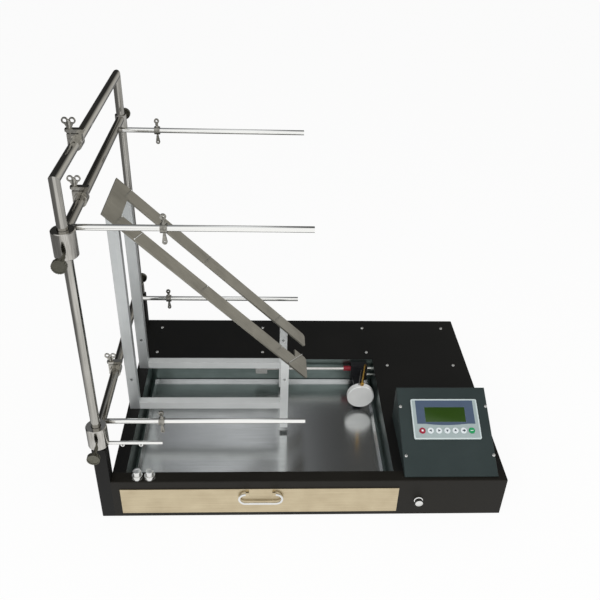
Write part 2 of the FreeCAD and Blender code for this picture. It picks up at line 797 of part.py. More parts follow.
carriage_collars("upper_collars", "upper_level", "upper_rise", "knob_drop")
carriage_bars("upper_bars", "upper_level", "rod_front", "rod_rear")
lower_collars = carriage_collars("lower_collars", "lower_level", "lower_rise", "lower_knob_drop")
lower_bars = carriage_bars("lower_bars", "lower_level", "lower_rod_front", "lower_rod_rear")

# A short rod out of the lower front collar, with two rings under it for the marker threads
HOOK_SEAT = f"({POST_X} + collar_diameter / 2 - rod_seat)"
cut(lower_collars, "YZ", HOOK_SEAT, "rod_seat",
    circle(FRONT_POST, "hook_rod_height", "hook_rod_diameter + 2 * fit_gap"))
add(lower_bars, "YZ", HOOK_SEAT, f"hook_rod_end - {HOOK_SEAT}",
    circle(FRONT_POST, "hook_rod_height", "hook_rod_diameter"))
RING_DROP = "(hook_rod_height - hook_rod_diameter / 2 - hook_ring / 4)"
for along in ("hook_ring_first", "hook_ring_second"):
    add(lower_bars, "XZ", f"{FRONT_POST} - hook_ring_wall / 2", "hook_ring_wall",
        circle(along, RING_DROP, "hook_ring"))
for along in ("hook_ring_first", "hook_ring_second"):
    cut(lower_bars, "XZ", f"{FRONT_POST} - hook_ring_wall / 2", "hook_ring_wall",
        circle(along, RING_DROP, "hook_ring - 2 * hook_ring_wall"))


def lock_knob(label, y, z, backward):
    """A round knob whose screw reaches the post. Its own axis points from the post to the knob."""
    knob = new_body(label, x=POST_X, y=y, z=z, axis=(1, 0, 0), angle="-90" if backward else "90")
    tip = "(post_diameter / 2 + running_gap)"
    back = "(knob_stand - knob_thickness)"
    turn(knob, [
        ("0", tip),
        ("knob_stem / 2", tip),
        ("knob_stem / 2", f"{back} - knob_boss"),
        ("knob_diameter / 4", f"{back} - knob_boss"),
        ("knob_diameter / 4", back),
        ("knob_diameter / 2", back),
        ("knob_diameter / 2", "knob_stand"),
        ("knob_diameter / 2 - knob_rim", "knob_stand"),
        ("knob_diameter / 2 - knob_rim", "knob_stand - knob_dish"),
        ("0", "knob_stand - knob_dish"),
    ])
    flute = cut(knob, "XY", back, "knob_thickness", [
        ("knob_diameter / 2 - flute_depth", "0"),
        ("knob_diameter / 2 + flute_depth", "-flute_width"),
        ("knob_diameter / 2 + flute_depth", "flute_width"),
    ])
    around(knob, flute, "flutes")
    return knob


lock_knob("upper_front_knob", FRONT_POST, "upper_level - knob_drop", False)
lock_knob("upper_rear_knob", REAR_POST, "upper_level - rear_knob_drop", True)
lock_knob("lower_front_knob", FRONT_POST, "lower_level - lower_knob_drop", False)
lock_knob("lower_rear_knob", REAR_POST, "lower_level - rear_knob_drop", True)


# Split clamps: a sleeve round the bar, a slit lug over it, a cap plate and a wing screw

def clamp(label, y, z):
    """A sleeve and its lug, in a frame at the bar's axis in the middle of the sleeve."""
    sleeve = new_body(label, x=POST_X, y=y, z=z)
    start = "-clamp_length / 2"
    add(sleeve, "XZ", start, "clamp_length", circle("0", "0", "clamp_outer"))
    add(sleeve, "XZ", "-clamp_depth / 2", "clamp_depth", rectangle(
        "-clamp_width / 2 + clamp_heel", "0", "clamp_width / 2 - clamp_nose", "clamp_rise - clamp_cap"))
    add(sleeve, "XZ", "-clamp_depth / 2", "clamp_depth", rectangle(
        "-clamp_width / 2", "clamp_rise - clamp_cap", "clamp_width / 2", "clamp_rise"))
    add(sleeve, "XZ", "-clamp_depth / 2", "clamp_depth", circle(
        "clamp_width / 2 - clamp_nose", "clamp_rise - clamp_cap", "clamp_nose_diameter"))
    dress(sleeve, "Fillet", "clamp_depth / 4", lambda edge: straight(edge, (0, 0, 1))
          and same(middle(edge).x, "-clamp_width / 2"))
    cut(sleeve, "XZ", start, "clamp_length", circle("0", "0", "post_diameter + 2 * fit_gap"))
    cut(sleeve, "XZ", start, "clamp_length", rectangle(
        "-clamp_width / 2", "clamp_rise - clamp_cap - 2 * clamp_slit",
        "clamp_width / 2 - clamp_bridge", "clamp_rise - clamp_cap - clamp_slit"))
    cut(sleeve, "XY", "clamp_outer / 2", "clamp_rise", circle(
        "-wing_offset", "0", "wing_stem + 2 * fit_gap"))
    return sleeve


def wing_screw(label, y, z):
    """A screw standing in the clamp's lug, with a ring for a wing on each side of its hub."""
    screw = new_body(label, x=f"{POST_X} - wing_offset", y=y, z=z)
    tip = "(clamp_outer / 2 + running_gap)"
    seat = "(clamp_rise + running_gap)"
    ring_out = "((wing_span - wing_ring) / 2)"
    ring_up = "(clamp_rise + wing_rise - wing_ring / 2)"
    turn(screw, [
        ("0", tip),
        ("wing_stem / 2", tip),
        ("wing_stem / 2", seat),
        ("wing_hub / 2", seat),
        ("wing_hub / 2", ring_up),
        ("wing_hub / 4", f"{ring_up} + wing_hub / 4"),
        ("0", f"{ring_up} + wing_hub / 4"),
    ])
    wing_back = "-wing_wall / 2"
    add(screw, "XZ", wing_back, "wing_wall", [
        ("-wing_hub / 2", seat),
        ("wing_hub / 2", seat),
        (f"{ring_out} + wing_ring * 0.35", ring_up),
        (f"-{ring_out} - wing_ring * 0.35", ring_up),
    ])
    for side in ("-", ""):
        add(screw, "XZ", wing_back, "wing_wall", circle(f"{side}{ring_out}", ring_up, "wing_ring"))
    cut(screw, "XZ", wing_back, "wing_wall", circle(f"-{ring_out}", ring_up, "wing_hole"),
        circle(ring_out, ring_up, "wing_hole"))
    return screw


for label, y, z in (("top", "top_clamp", POST_BAR), ("upper", "upper_clamp", "upper_level"),
                    ("lower", "lower_clamp", "lower_level")):
    clamp(f"{label}_clamp", y, z)
    wing_screw(f"{label}_wing_screw", y, z)


# Thread eyes: a collar on the rod, a necked eye above it and a hanging tag below

def thread_eye(label, x, y, z):
    """One eye in a frame at the rod's axis, in the middle of its collar."""
    eye = new_body(label, x=x, y=y, z=z)
    turn(eye, [
        ("0", "0"),
        ("eye_neck", "0"),
        ("eye_neck", "eye_ring / 2"),
        ("eye_neck / 2", "eye_rise - eye_cone + eye_wall / 4"),
        ("eye_bead / 2", "eye_rise - eye_cone + eye_wall / 2"),
        ("eye_bead / 2", "eye_rise - eye_outer / 2 + eye_wall / 4"),
        ("0", "eye_rise - eye_outer / 2 + eye_wall / 4"),
    ])
    add(eye, "YZ", "-eye_length / 2", "eye_length", circle("0", "0", "eye_ring"))
    add(eye, "XZ", "-eye_wall / 2", "eye_wall", circle("0", "eye_rise", "eye_outer"))
    add(eye, "XZ", "-eye_wall / 2", "eye_wall", [
        ("-tag_stem / 2", "0"),
        ("-tag_stem / 2", "-eye_ring / 2"),
        ("-tag_outer / 2", "-tag_drop + tag_outer / 2"),
        ("tag_outer / 2", "-tag_drop + tag_outer / 2"),
        ("tag_stem / 2", "-eye_ring / 2"),
        ("tag_stem / 2", "0"),
    ])
    add(eye, "XZ", "-eye_wall / 2", "eye_wall", circle("0", "-tag_drop + tag_outer / 2", "tag_outer"))
    cut(eye, "XZ", "-eye_wall / 2", "eye_wall", circle("0", "eye_rise", "eye_hole"),
        circle("0", "-tag_drop + tag_outer / 2", "tag_stem"))
    cut(eye, "YZ", "-eye_length / 2", "eye_length", circle("0", "0", "rod_diameter + 2 * fit_gap"))
    return eye


thread_eye("upper_front_eye_collar", "upper_front_eye", "rod_front", "upper_level")
thread_eye("upper_rear_eye_collar", "upper_rear_eye", "rod_rear", "upper_level")
thread_eye("lower_front_eye_collar", "lower_front_eye", "lower_rod_front", "lower_level")
thread_eye("lower_rear_eye_collar", "lower_rear_eye", "lower_rod_rear", "lower_level")

# Drawer: a pan on two ledges of the well liner, a front plate and a bail handle

tray = new_body("tray")
add(tray, "XY", "tray_floor - tray_wall", "tray_rim - tray_floor + tray_wall", rectangle(
    TRAY_LEFT, "-running_gap", TRAY_RIGHT, "tray_rear"))
dress(tray, "Fillet", "tray_bend",
      lambda edge: straight(edge, (0, 0, 1)) and same(middle(edge).y, "tray_rear"))
cut(tray, "XY", "tray_floor", "tray_rim - tray_floor", rectangle(
    f"{TRAY_LEFT} + tray_wall", "tray_wall - running_gap",
    f"{TRAY_RIGHT} - tray_wall", "tray_rear - tray_wall"))
cut(tray, "XY", "tray_lip", "tray_rim - tray_lip", rectangle(
    TRAY_LEFT, "tray_rear - tray_bend - tray_wall", TRAY_RIGHT, "tray_rear"))

drawer_front = new_body("drawer_front")
FRONT_FACE = "(-running_gap - front_wall)"
PIVOT_OUT = f"({FRONT_FACE} - bail_stand)"
LUG_REACH = "(bail_width / 2 - bail_drop / 2)"
add(drawer_front, "XZ", FRONT_FACE, "front_wall", rectangle(
    f"{WELL_LEFT} - front_overlap", "front_bottom",
    f"{WELL_RIGHT} + front_overlap", "front_bottom + front_height"))
dress(drawer_front, "Fillet", "front_wall / 2", lambda edge: same(middle(edge).y, FRONT_FACE))
for left in (f"{WELL_MIDDLE} - {LUG_REACH}", f"{WELL_MIDDLE} + {LUG_REACH} - bail_lug"):
    add(drawer_front, "YZ", left, "bail_lug", [
        (FRONT_FACE, "bail_pivot - bail_bar"),
        (FRONT_FACE, "bail_pivot + bail_bar"),
        (PIVOT_OUT, "bail_pivot + bail_bar * 0.9"),
        (f"{PIVOT_OUT} - bail_bar * 0.9", "bail_pivot"),
        (PIVOT_OUT, "bail_pivot - bail_bar * 0.9"),
    ])
cut(drawer_front, "YZ", f"{WELL_MIDDLE} - {LUG_REACH}", f"2 * {LUG_REACH}",
    circle(PIVOT_OUT, "bail_pivot", "bail_bar + 2 * fit_gap"))

# The bail's bar turns through a half circle at each end, back into its lugs
drawer_handle = new_body("drawer_handle", x=WELL_MIDDLE, y=PIVOT_OUT, z="bail_pivot")
bail_path = drawer_handle.newObject("Sketcher::SketchObject", "bail_path")
bail_path.AttachmentSupport = [(item, "") for item in drawer_handle.Origin.OriginFeatures
                               if item.Role == "XZ_Plane"]
bail_path.MapMode = "FlatFace"
turn_radius = number_of("bail_drop / 2")
lug_reach = number_of(LUG_REACH)
left_end = FreeCAD.Vector(-lug_reach, -turn_radius, 0)
right_end = FreeCAD.Vector(lug_reach, -turn_radius, 0)
up = FreeCAD.Vector(0, 0, 1)
bail_path.addGeometry(Part.ArcOfCircle(Part.Circle(left_end, up, turn_radius), 1.570796, 4.712389))
bail_path.addGeometry(Part.LineSegment(left_end - FreeCAD.Vector(0, turn_radius, 0),
                                       right_end - FreeCAD.Vector(0, turn_radius, 0)))
bail_path.addGeometry(Part.ArcOfCircle(Part.Circle(right_end, up, turn_radius), -1.570796, 1.570796))
for first, first_end, second, second_end in ((0, 2, 1, 1), (1, 2, 2, 1)):
    bail_path.addConstraint(Sketcher.Constraint("Coincident", first, first_end, second, second_end))
pin_point(bail_path, 0, 1, f"-{LUG_REACH}", "0")
pin_point(bail_path, 0, 2, f"-{LUG_REACH}", "-bail_drop")
pin_point(bail_path, 0, 3, f"-{LUG_REACH}")
pin_point(bail_path, 2, 2, LUG_REACH, "0")
pin_point(bail_path, 2, 1, LUG_REACH, "-bail_drop")
pin_point(bail_path, 2, 3, LUG_REACH)
bail_bar = drawer_handle.newObject("PartDesign::AdditivePipe", "bail_bar")
bail_bar.Profile = draw(drawer_handle, "YZ", "0", [circle("0", "-bail_drop", "bail_bar")])
bail_bar.Spine = bail_path
drawer_handle.Tip = bail_bar
add(drawer_handle, "YZ", f"-{LUG_REACH}", "bail_lug", circle("0", "0", "bail_bar"))
add(drawer_handle, "YZ", f"{LUG_REACH} - bail_lug", "bail_lug", circle("0", "0", "bail_bar"))

# Burner: a drum that tilts on an arm, and the carriage that brings it under the specimen

HEAD = dict(x=BURNER_X, y="burner_back", z="burner_up")
drum = new_body("burner_drum", **HEAD, axis=(1, 0, 0), angle="90")
turn(drum, [
    ("0", "-drum_depth / 2 - arm_wall - running_gap"),
    ("drum_hub / 2", "-drum_depth / 2 - arm_wall - running_gap"),
    ("drum_hub / 2", "-drum_depth / 2"),
    ("drum_diameter / 2 - 2 * drum_bevel", "-drum_depth / 2"),
    ("drum_diameter / 2", "-drum_depth / 2 + 2 * drum_bevel"),
    ("drum_diameter / 2", "drum_depth / 2 - drum_bevel"),
    ("drum_diameter / 2 - drum_bevel", "drum_depth / 2"),
    ("0", "drum_depth / 2"),
])

burner_tube = new_body("burner_tube", **HEAD, axis=(0, 1, 0), angle="burner_lean")
NUT_TOP = "(drum_diameter / 2 + burner_nut_height)"
turn(burner_tube, [
    ("0", "drum_diameter / 2 + fit_gap"),
    ("burner_nut / 2", "drum_diameter / 2 + fit_gap"),
    ("burner_nut / 2", NUT_TOP),
    ("burner_tube_diameter / 2", f"{NUT_TOP} + burner_nut_taper"),
    ("burner_tube_diameter / 2", "burner_reach"),
    ("burner_tube_diameter / 3", "burner_reach"),
    ("burner_tube_diameter / 3", "burner_reach - burner_bore"),
    ("0", "burner_reach - burner_bore"),
])

igniter = new_body("igniter", **HEAD, axis=(0, 1, 0), angle="burner_lean")
add(igniter, "XY", "drum_diameter / 2", "igniter_reach - drum_diameter / 2",
    circle("-igniter_gap", "0", "igniter_diameter"))

carriage_body = new_body("burner_carriage")
DRUM_BACK = "(burner_back + drum_depth / 2)"
CARRIAGE_FRONT = "(guide_rod_back - guide_rod_diameter)"
CARRIAGE_TOP = "(guide_rod_up + carriage_rise)"
add(carriage_body, "XZ", f"{DRUM_BACK} + running_gap", "arm_wall", [
    (f"{BURNER_X} - arm_width / 2", "burner_up - arm_width / 2"),
    (f"{BURNER_X} + arm_width / 2", "burner_up - arm_width / 2"),
    (f"{BURNER_X} + arm_width / 2", "burner_up + arm_width / 2"),
    (f"{BURNER_X} - arm_width / 2", "burner_up + arm_width / 2"),
])
dress(carriage_body, "Fillet", "arm_width / 4", lambda edge: straight(edge, (0, 1, 0)))
add(carriage_body, "XY", "burner_up - arm_width / 2", "arm_wall", rectangle(
    f"{BURNER_X} - arm_width / 3", f"{DRUM_BACK} + running_gap + arm_wall",
    f"{BURNER_X} + arm_width / 3", CARRIAGE_FRONT))
add(carriage_body, "YZ", CARRIAGE_LEFT, "carriage_length", [
    (CARRIAGE_FRONT, "carriage_bottom"),
    (f"{WELL_BACK} - running_gap", "carriage_bottom"),
    (f"{WELL_BACK} - running_gap", CARRIAGE_TOP),
    (CARRIAGE_FRONT, CARRIAGE_TOP),
])
cut(carriage_body, "YZ", CARRIAGE_LEFT, "carriage_length",
    circle("guide_rod_back", "guide_rod_up", "guide_rod_diameter + 2 * fit_gap"))
cut(carriage_body, "XZ", f"{DRUM_BACK} + running_gap", "arm_wall",
    circle(BURNER_X, "burner_up", "drum_hub + 2 * fit_gap"))

bumper = new_body("carriage_bumper")
add(bumper, "YZ", f"{CARRIAGE_LEFT} - bumper_length", "bumper_length",
    circle("guide_rod_back", "guide_rod_up", "bumper_diameter"),
    circle("guide_rod_back", "guide_rod_up", "guide_rod_diameter + 2 * fit_gap"))

guide_rod = new_body("guide_rod")
add(guide_rod, "YZ", "guide_rod_left", f"{WELL_RIGHT} + panel_wall - guide_rod_left",
    circle("guide_rod_back", "guide_rod_up", "guide_rod_diameter"))
add(guide_rod, "YZ", "guide_rod_left", "bracket_length", [
    ("bracket_front", "bracket_bottom"),
    (WELL_BACK, "bracket_bottom"),
    (WELL_BACK, DECK_UNDER),
    ("bracket_front + guide_rod_diameter", DECK_UNDER),
    ("bracket_front", "guide_rod_up + guide_rod_diameter"),
])

actuator_rod = new_body("actuator_rod")
CARRIAGE_RIGHT = f"({CARRIAGE_LEFT} + carriage_length)"
ACTUATOR_LEFT = f"({WELL_RIGHT} + panel_wall + actuator_setback)"
ACTUATOR_RIGHT = f"({ACTUATOR_LEFT} + actuator_length)"
add(actuator_rod, "YZ", CARRIAGE_RIGHT, f"{ACTUATOR_RIGHT} - 2 * actuator_setback - {CARRIAGE_RIGHT}",
    circle("guide_rod_back", "actuator_up", "actuator_rod"))

linear_actuator = new_body("linear_actuator")
add(linear_actuator, "YZ", ACTUATOR_LEFT, "actuator_length",
    circle("guide_rod_back", "actuator_up", "actuator_diameter"))
for left in (ACTUATOR_LEFT, f"{ACTUATOR_RIGHT} - actuator_bracket"):
    add(linear_actuator, "YZ", left, "actuator_bracket", rectangle(
        "guide_rod_back - actuator_diameter / 2", FLOOR,
        "guide_rod_back + actuator_diameter / 2", "actuator_up + actuator_diameter / 2"))
cut(linear_actuator, "YZ", ACTUATOR_LEFT, "actuator_length - actuator_setback",
    circle("guide_rod_back", "actuator_up", "actuator_rod + 2 * fit_gap"))

# Console, in a frame on its sloping face: x right, y up the slope, z out of the face

CONSOLE = dict(x=CONSOLE_LEFT, y="console_front", z="base_top + console_lip",
               axis=(1, 0, 0), angle="console_slope")


def on_slope(depth, rise):
    """A point of the console's side view, from its distance behind and above the front edge."""
    return (f"({depth}) * {COS} + ({rise}) * {SIN}", f"({rise}) * {COS} - ({depth}) * {SIN}")


console_case = new_body("console_case", **CONSOLE)
add(console_case, "YZ", "0", "console_length", [
    on_slope("0", "0"),
    on_slope("0", "-console_lip"),
    on_slope("console_depth", "-console_lip"),
    (f"console_depth / {COS}", "0"),
])
dress(console_case, "Fillet", "panel_bend", lambda edge: same(middle(edge).z, "0")
      and middle(edge).y > number_of("console_depth / 3"))
cut(console_case, "YZ", "panel_wall", "console_length - 2 * panel_wall", [
    (f"panel_wall * (1 - {SIN}) / {COS}", "-panel_wall"),
    on_slope("panel_wall", "-console_lip"),
    on_slope("console_depth - panel_wall", "-console_lip"),
    (f"(console_depth - panel_wall - panel_wall * {SIN}) / {COS}", "-panel_wall"),
])
cut(console_case, "XY", "-panel_wall", "panel_wall", rectangle(
    "display_left + display_flange", "display_front + display_flange",
    "display_left + display_length - display_flange", "display_front + display_width - display_flange"))

DISPLAY_MIDDLE = "(display_left + display_length / 2)"
KEY_LINE = "(display_front + key_up)"
WINDOW_LEFT = "(display_left + window_inset)"
WINDOW_FRONT = "(display_front + window_up)"
KEYS = [f"{DISPLAY_MIDDLE} + {step} * key_pitch" for step in range(-3, 4)]
display_unit = new_body("display_unit", **CONSOLE)
add(display_unit, "XY", "0", "display_rise", rectangle(
    "display_left", "display_front", "display_left + display_length", "display_front + display_width"))
dress(display_unit, "Fillet", "display_corner", lambda edge: straight(edge, (0, 0, 1)))
add(display_unit, "XY", "-display_body", "display_body", rectangle(
    "display_left + display_flange + running_gap", "display_front + display_flange + running_gap",
    "display_left + display_length - display_flange - running_gap",
    "display_front + display_width - display_flange - running_gap"))
cut(display_unit, "XY", "display_rise - window_depth", "window_depth", rectangle(
    WINDOW_LEFT, WINDOW_FRONT, f"{WINDOW_LEFT} + window_length", f"{WINDOW_FRONT} + window_width"))
cut(display_unit, "XY", "-key_travel", "display_rise + key_travel",
    *[circle(across, KEY_LINE, "key_diameter + 4 * fit_gap") for across in KEYS])

KEY_NAMES = ["stop_key", "left_key", "right_key", "down_key", "up_key", "enter_key", "start_key"]
for label, across in zip(KEY_NAMES, KEYS):
    key = new_body(label, **CONSOLE)
    add(key, "XY", "running_gap", "display_rise + key_rise - running_gap", circle(
        across, KEY_LINE, "key_diameter"))
    dress(key, "Chamfer", "key_bevel", lambda edge: same(middle(edge).z, "display_rise + key_rise"))


# Knobs: two stepped needle-valve knobs on the rail and a power knob on the front

def valve_knob(label, x):
    knob = new_body(label, x=x, y="valve_knob_back", z="base_top")
    turn(knob, [
        ("0", "-valve_stem"),
        ("knob_stem / 2", "-valve_stem"),
        ("knob_stem / 2", "running_gap"),
        ("valve_knob_diameter / 2", "running_gap"),
        ("valve_knob_diameter / 2", "valve_knob_height * 0.45"),
        ("valve_knob_diameter * 0.4", "valve_knob_height * 0.5"),
        ("valve_knob_diameter * 0.4", "valve_knob_height * 0.94"),
        ("valve_knob_diameter * 0.34", "valve_knob_height"),
        ("0", "valve_knob_height"),
    ])
    return knob


valve_knob("first_valve_knob", "valve_knob_first")
valve_knob("second_valve_knob", "valve_knob_second")

power_knob = new_body("power_knob", x=POWER_KNOB_X, y="0", z="power_knob_up", axis=(1, 0, 0), angle="90")
turn(power_knob, [
    ("0", "-power_stem"),
    ("knob_stem / 2", "-power_stem"),
    ("knob_stem / 2", "running_gap"),
    ("power_knob_diameter / 2", "running_gap"),
    ("power_knob_diameter / 2", "power_knob_depth * 0.3"),
    ("power_knob_diameter * 0.42", "power_knob_depth * 0.4"),
    ("power_knob_diameter * 0.42", "power_knob_depth"),
    ("power_knob_diameter * 0.34", "power_knob_depth"),
    ("power_knob_diameter * 0.34", "power_knob_depth - power_knob_dish"),
    ("0", "power_knob_depth - power_knob_dish"),
])

# Gas, spark and power pieces inside and behind the cabinet

gas_inlet = new_body("gas_inlet", x=GAS_X, y="base_depth", z="inlet_up", axis=(1, 0, 0), angle="-90")
turn(gas_inlet, [
    ("0", "-panel_wall - inlet_shank"),
    ("inlet_diameter / 2", "-panel_wall - inlet_shank"),
    ("inlet_diameter / 2", "0"),
    ("inlet_diameter * 0.9", "0"),
    ("inlet_diameter * 0.9", "inlet_nut"),
    ("inlet_diameter * 0.35", "inlet_nut"),
    ("inlet_diameter * 0.5", "inlet_reach * 0.5"),
    ("inlet_diameter * 0.38", "inlet_reach * 0.7"),
    ("inlet_diameter * 0.5", "inlet_reach * 0.73"),
    ("inlet_diameter * 0.36", "inlet_reach"),
    ("inlet_diameter * 0.2", "inlet_reach"),
    ("inlet_diameter * 0.2", "inlet_nut"),
    ("0", "inlet_nut"),
])

gas_valve = new_body("gas_valve")
add(gas_valve, "XY", FLOOR, "valve_side * 0.6", rectangle(
    VALVE_X, "valve_back", f"{VALVE_X} + valve_side * 1.4", "valve_back + valve_side"))
add(gas_valve, "XY", f"{FLOOR} + valve_side * 0.6", "valve_side", circle(
    f"{VALVE_X} + valve_side * 0.7", "valve_back + valve_side / 2", "valve_side * 0.8"))

ignition_unit = new_body("ignition_unit")
add(ignition_unit, "XY", FLOOR, "igniter_box_height", rectangle(
    "igniter_box_left", "igniter_box_back",
    "igniter_box_left + igniter_box_length", "igniter_box_back + igniter_box_width"))
dress(ignition_unit, "Fillet", "igniter_box_corner", lambda edge: straight(edge, (0, 0, 1)))
TERMINAL_BACK = "(igniter_box_back + igniter_box_width / 2)"
add(ignition_unit, "XY", f"{FLOOR} + igniter_box_height", "terminal_height",
    circle("igniter_box_left + igniter_box_length / 4", TERMINAL_BACK, "terminal_diameter"),
    circle("igniter_box_left + igniter_box_length * 0.75", TERMINAL_BACK, "terminal_diameter"))


def round_inlet(margin):
    """A rectangle about the middle of the power inlet, larger than its body by margin all round."""
    across = f"(power_inlet_length / 2 + {margin})"
    up = f"(power_inlet_height / 2 + {margin})"
    return rectangle(f"{POWER_X} - {across}", f"power_inlet_up - {up}",
                     f"{POWER_X} + {across}", f"power_inlet_up + {up}")


power_inlet = new_body("power_inlet")
add(power_inlet, "XZ", "base_depth", "power_inlet_flange", round_inlet("power_inlet_rim"))
dress(power_inlet, "Fillet", "power_inlet_rim", lambda edge: straight(edge, (0, 1, 0)))
add(power_inlet, "XZ", "base_depth - power_inlet_depth", "power_inlet_depth",
    round_inlet("(-running_gap)"))
cut(power_inlet, "XZ", "base_depth + power_inlet_flange - socket_recess", "socket_recess", rectangle(
    f"{POWER_X} - power_inlet_length / 2 + socket_inset",
    "power_inlet_up - power_inlet_height / 2 + socket_margin",
    f"{POWER_X} + power_inlet_length / 2 - socket_inset",
    "power_inlet_up + power_inlet_height / 2 - socket_margin"))

doc.recompute()

failed = [item.Label for item in doc.Objects if "Invalid" in item.State or "Error" in item.State]
if failed:
    raise RuntimeError(f"not made: {failed}")
os.makedirs("parts", exist_ok=True)
for node in nodes:
    if node.Shape.isNull() or not node.Shape.isValid() or not node.Shape.Solids:
        raise RuntimeError(f"{node.Label}: no valid solid")
for node in nodes:
    node.Shape.exportStep(f"parts/{node.Label}.step")
print(f"{len(nodes)} nodes")
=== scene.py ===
"""The looks of a bench tester that times how fast a flame climbs a cloth specimen held at 45 degrees."""

import logging
import math
from collections.abc import Callable, Iterator
from contextlib import contextmanager
from dataclasses import dataclass
from enum import Enum
from functools import partial

import bmesh
import bpy
from bpy.types import Material, Node, NodeSocket, NodeTree, Object
from mathutils import Matrix, Vector


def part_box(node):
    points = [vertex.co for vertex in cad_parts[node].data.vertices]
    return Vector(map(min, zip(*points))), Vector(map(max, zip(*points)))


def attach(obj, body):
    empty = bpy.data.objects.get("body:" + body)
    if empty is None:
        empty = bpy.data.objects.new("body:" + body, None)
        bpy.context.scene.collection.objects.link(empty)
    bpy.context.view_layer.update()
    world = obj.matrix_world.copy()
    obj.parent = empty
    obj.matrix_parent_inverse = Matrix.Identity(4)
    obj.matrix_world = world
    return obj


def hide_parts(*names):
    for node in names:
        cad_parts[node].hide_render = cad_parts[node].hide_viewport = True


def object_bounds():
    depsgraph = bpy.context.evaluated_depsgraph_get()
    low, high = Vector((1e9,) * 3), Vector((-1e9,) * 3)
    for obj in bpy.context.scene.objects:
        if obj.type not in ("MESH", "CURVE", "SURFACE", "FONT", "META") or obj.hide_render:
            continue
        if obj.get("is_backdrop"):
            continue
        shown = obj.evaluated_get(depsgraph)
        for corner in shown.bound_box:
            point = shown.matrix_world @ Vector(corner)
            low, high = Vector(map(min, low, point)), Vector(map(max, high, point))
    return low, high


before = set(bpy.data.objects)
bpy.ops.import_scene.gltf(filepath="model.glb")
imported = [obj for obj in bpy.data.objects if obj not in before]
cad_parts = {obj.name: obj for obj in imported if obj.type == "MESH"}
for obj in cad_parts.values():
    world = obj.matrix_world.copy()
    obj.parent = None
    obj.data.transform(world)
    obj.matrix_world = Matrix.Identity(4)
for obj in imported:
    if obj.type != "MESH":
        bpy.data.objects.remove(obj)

MM = 0.001
# Edges that turn by more than this are sharp: they are bevelled, and not shaded smooth.
SHARP_ANGLE = math.radians(35)
# A face or an edge whose cosine to an axis is larger than this lies along it.
ALONG = 0.9
WELD = 0.01 * MM
WHITE = (1.0, 1.0, 1.0, 1.0)
log = logging.getLogger("tester")

# A colour mix: its settings, the numbers of its two colour inputs and of its output.
COLOURS = {"data_type": "RGBA"}
LOW, HIGH, MIXED = 6, 7, 2
PRODUCT = {"operation": "MULTIPLY"}
LARGER = {"operation": "MAXIMUM"}

# The range in which a noise mostly keeps, and the one of a metal's lines and smears together.
NOISE_RANGE = {"From Min": 0.3, "From Max": 0.7}
LINES_RANGE = {"From Min": 0.5, "From Max": 1.0}
BEVEL_SAMPLES = {"samples": 4}


# Colour and node helpers

def linear(code: str) -> tuple[float, float, float, float]:
    """Turn an sRGB hex colour into the linear colour that a shader takes.

    Args:
        code: The colour as "#rrggbb".

    Returns:
        Red, green, blue and an alpha of 1.
    """
    shares = [int(code[start:start + 2], 16) / 255 for start in (1, 3, 5)]
    red, green, blue = (share / 12.92 if share <= 0.04045 else ((share + 0.055) / 1.055) ** 2.4
                        for share in shares)
    return red, green, blue, 1.0


def feed(node: Node, inputs: dict) -> None:
    """Set or link a node's inputs.

    Args:
        node: The node.
        inputs: For each input, by name or number, its value, or the output or the node that feeds it.
    """
    for name, value in inputs.items():
        source = value.outputs[0] if isinstance(value, Node) else value
        if isinstance(source, NodeSocket):
            node.id_data.links.new(source, node.inputs[name])
        else:
            node.inputs[name].default_value = source


def add_node(tree: NodeTree, kind: str, settings: dict | None = None, inputs: dict | None = None) -> Node:
    """Add a node with its settings and its inputs.

    Args:
        tree: The tree that takes the node.
        kind: The node's type, without the words that all of them start with.
        settings: Properties of the node itself, by name.
        inputs: What its inputs take, as in feed.

    Returns:
        The new node.
    """
    made = tree.nodes.new("ShaderNode" + kind)
    for name, value in (settings or {}).items():
        setattr(made, name, value)
    feed(made, inputs or {})
    return made


# Finishes

class Grain(Enum):
    """The way in which a metal's polishing or rolling lines run."""

    ALONG_X = (1.0, 0.0, 0.0)
    ALONG_Y = (0.0, 1.0, 0.0)
    ALONG_Z = (0.0, 0.0, 1.0)
    DOWN_SLOPE = (1.0, 0.0, -1.0)
    EVEN = (0.0, 0.0, 0.0)


@dataclass(frozen=True)
class Finish:
    """What every finish has: a name, a colour and a roughness."""

    name: str
    colour: str
    roughness: float

    def start(self) -> tuple[Material, Node, Callable, NodeSocket]:
        """Make the material with its plain shader.

        Returns:
            The material, its shader, what adds a node to its tree, and the place on the piece in metres.
        """
        material = bpy.data.materials.new(self.name)
        material.use_nodes = True
        material.diffuse_color = linear(self.colour)
        add = partial(add_node, material.node_tree)
        shader = material.node_tree.nodes["Principled BSDF"]
        feed(shader, {"Base Color": linear(self.colour), "Roughness": self.roughness})
        return material, shader, add, add("TexCoord").outputs["Object"]

    def build(self) -> Material:
        """Make the finished material."""
        return self.start()[0]


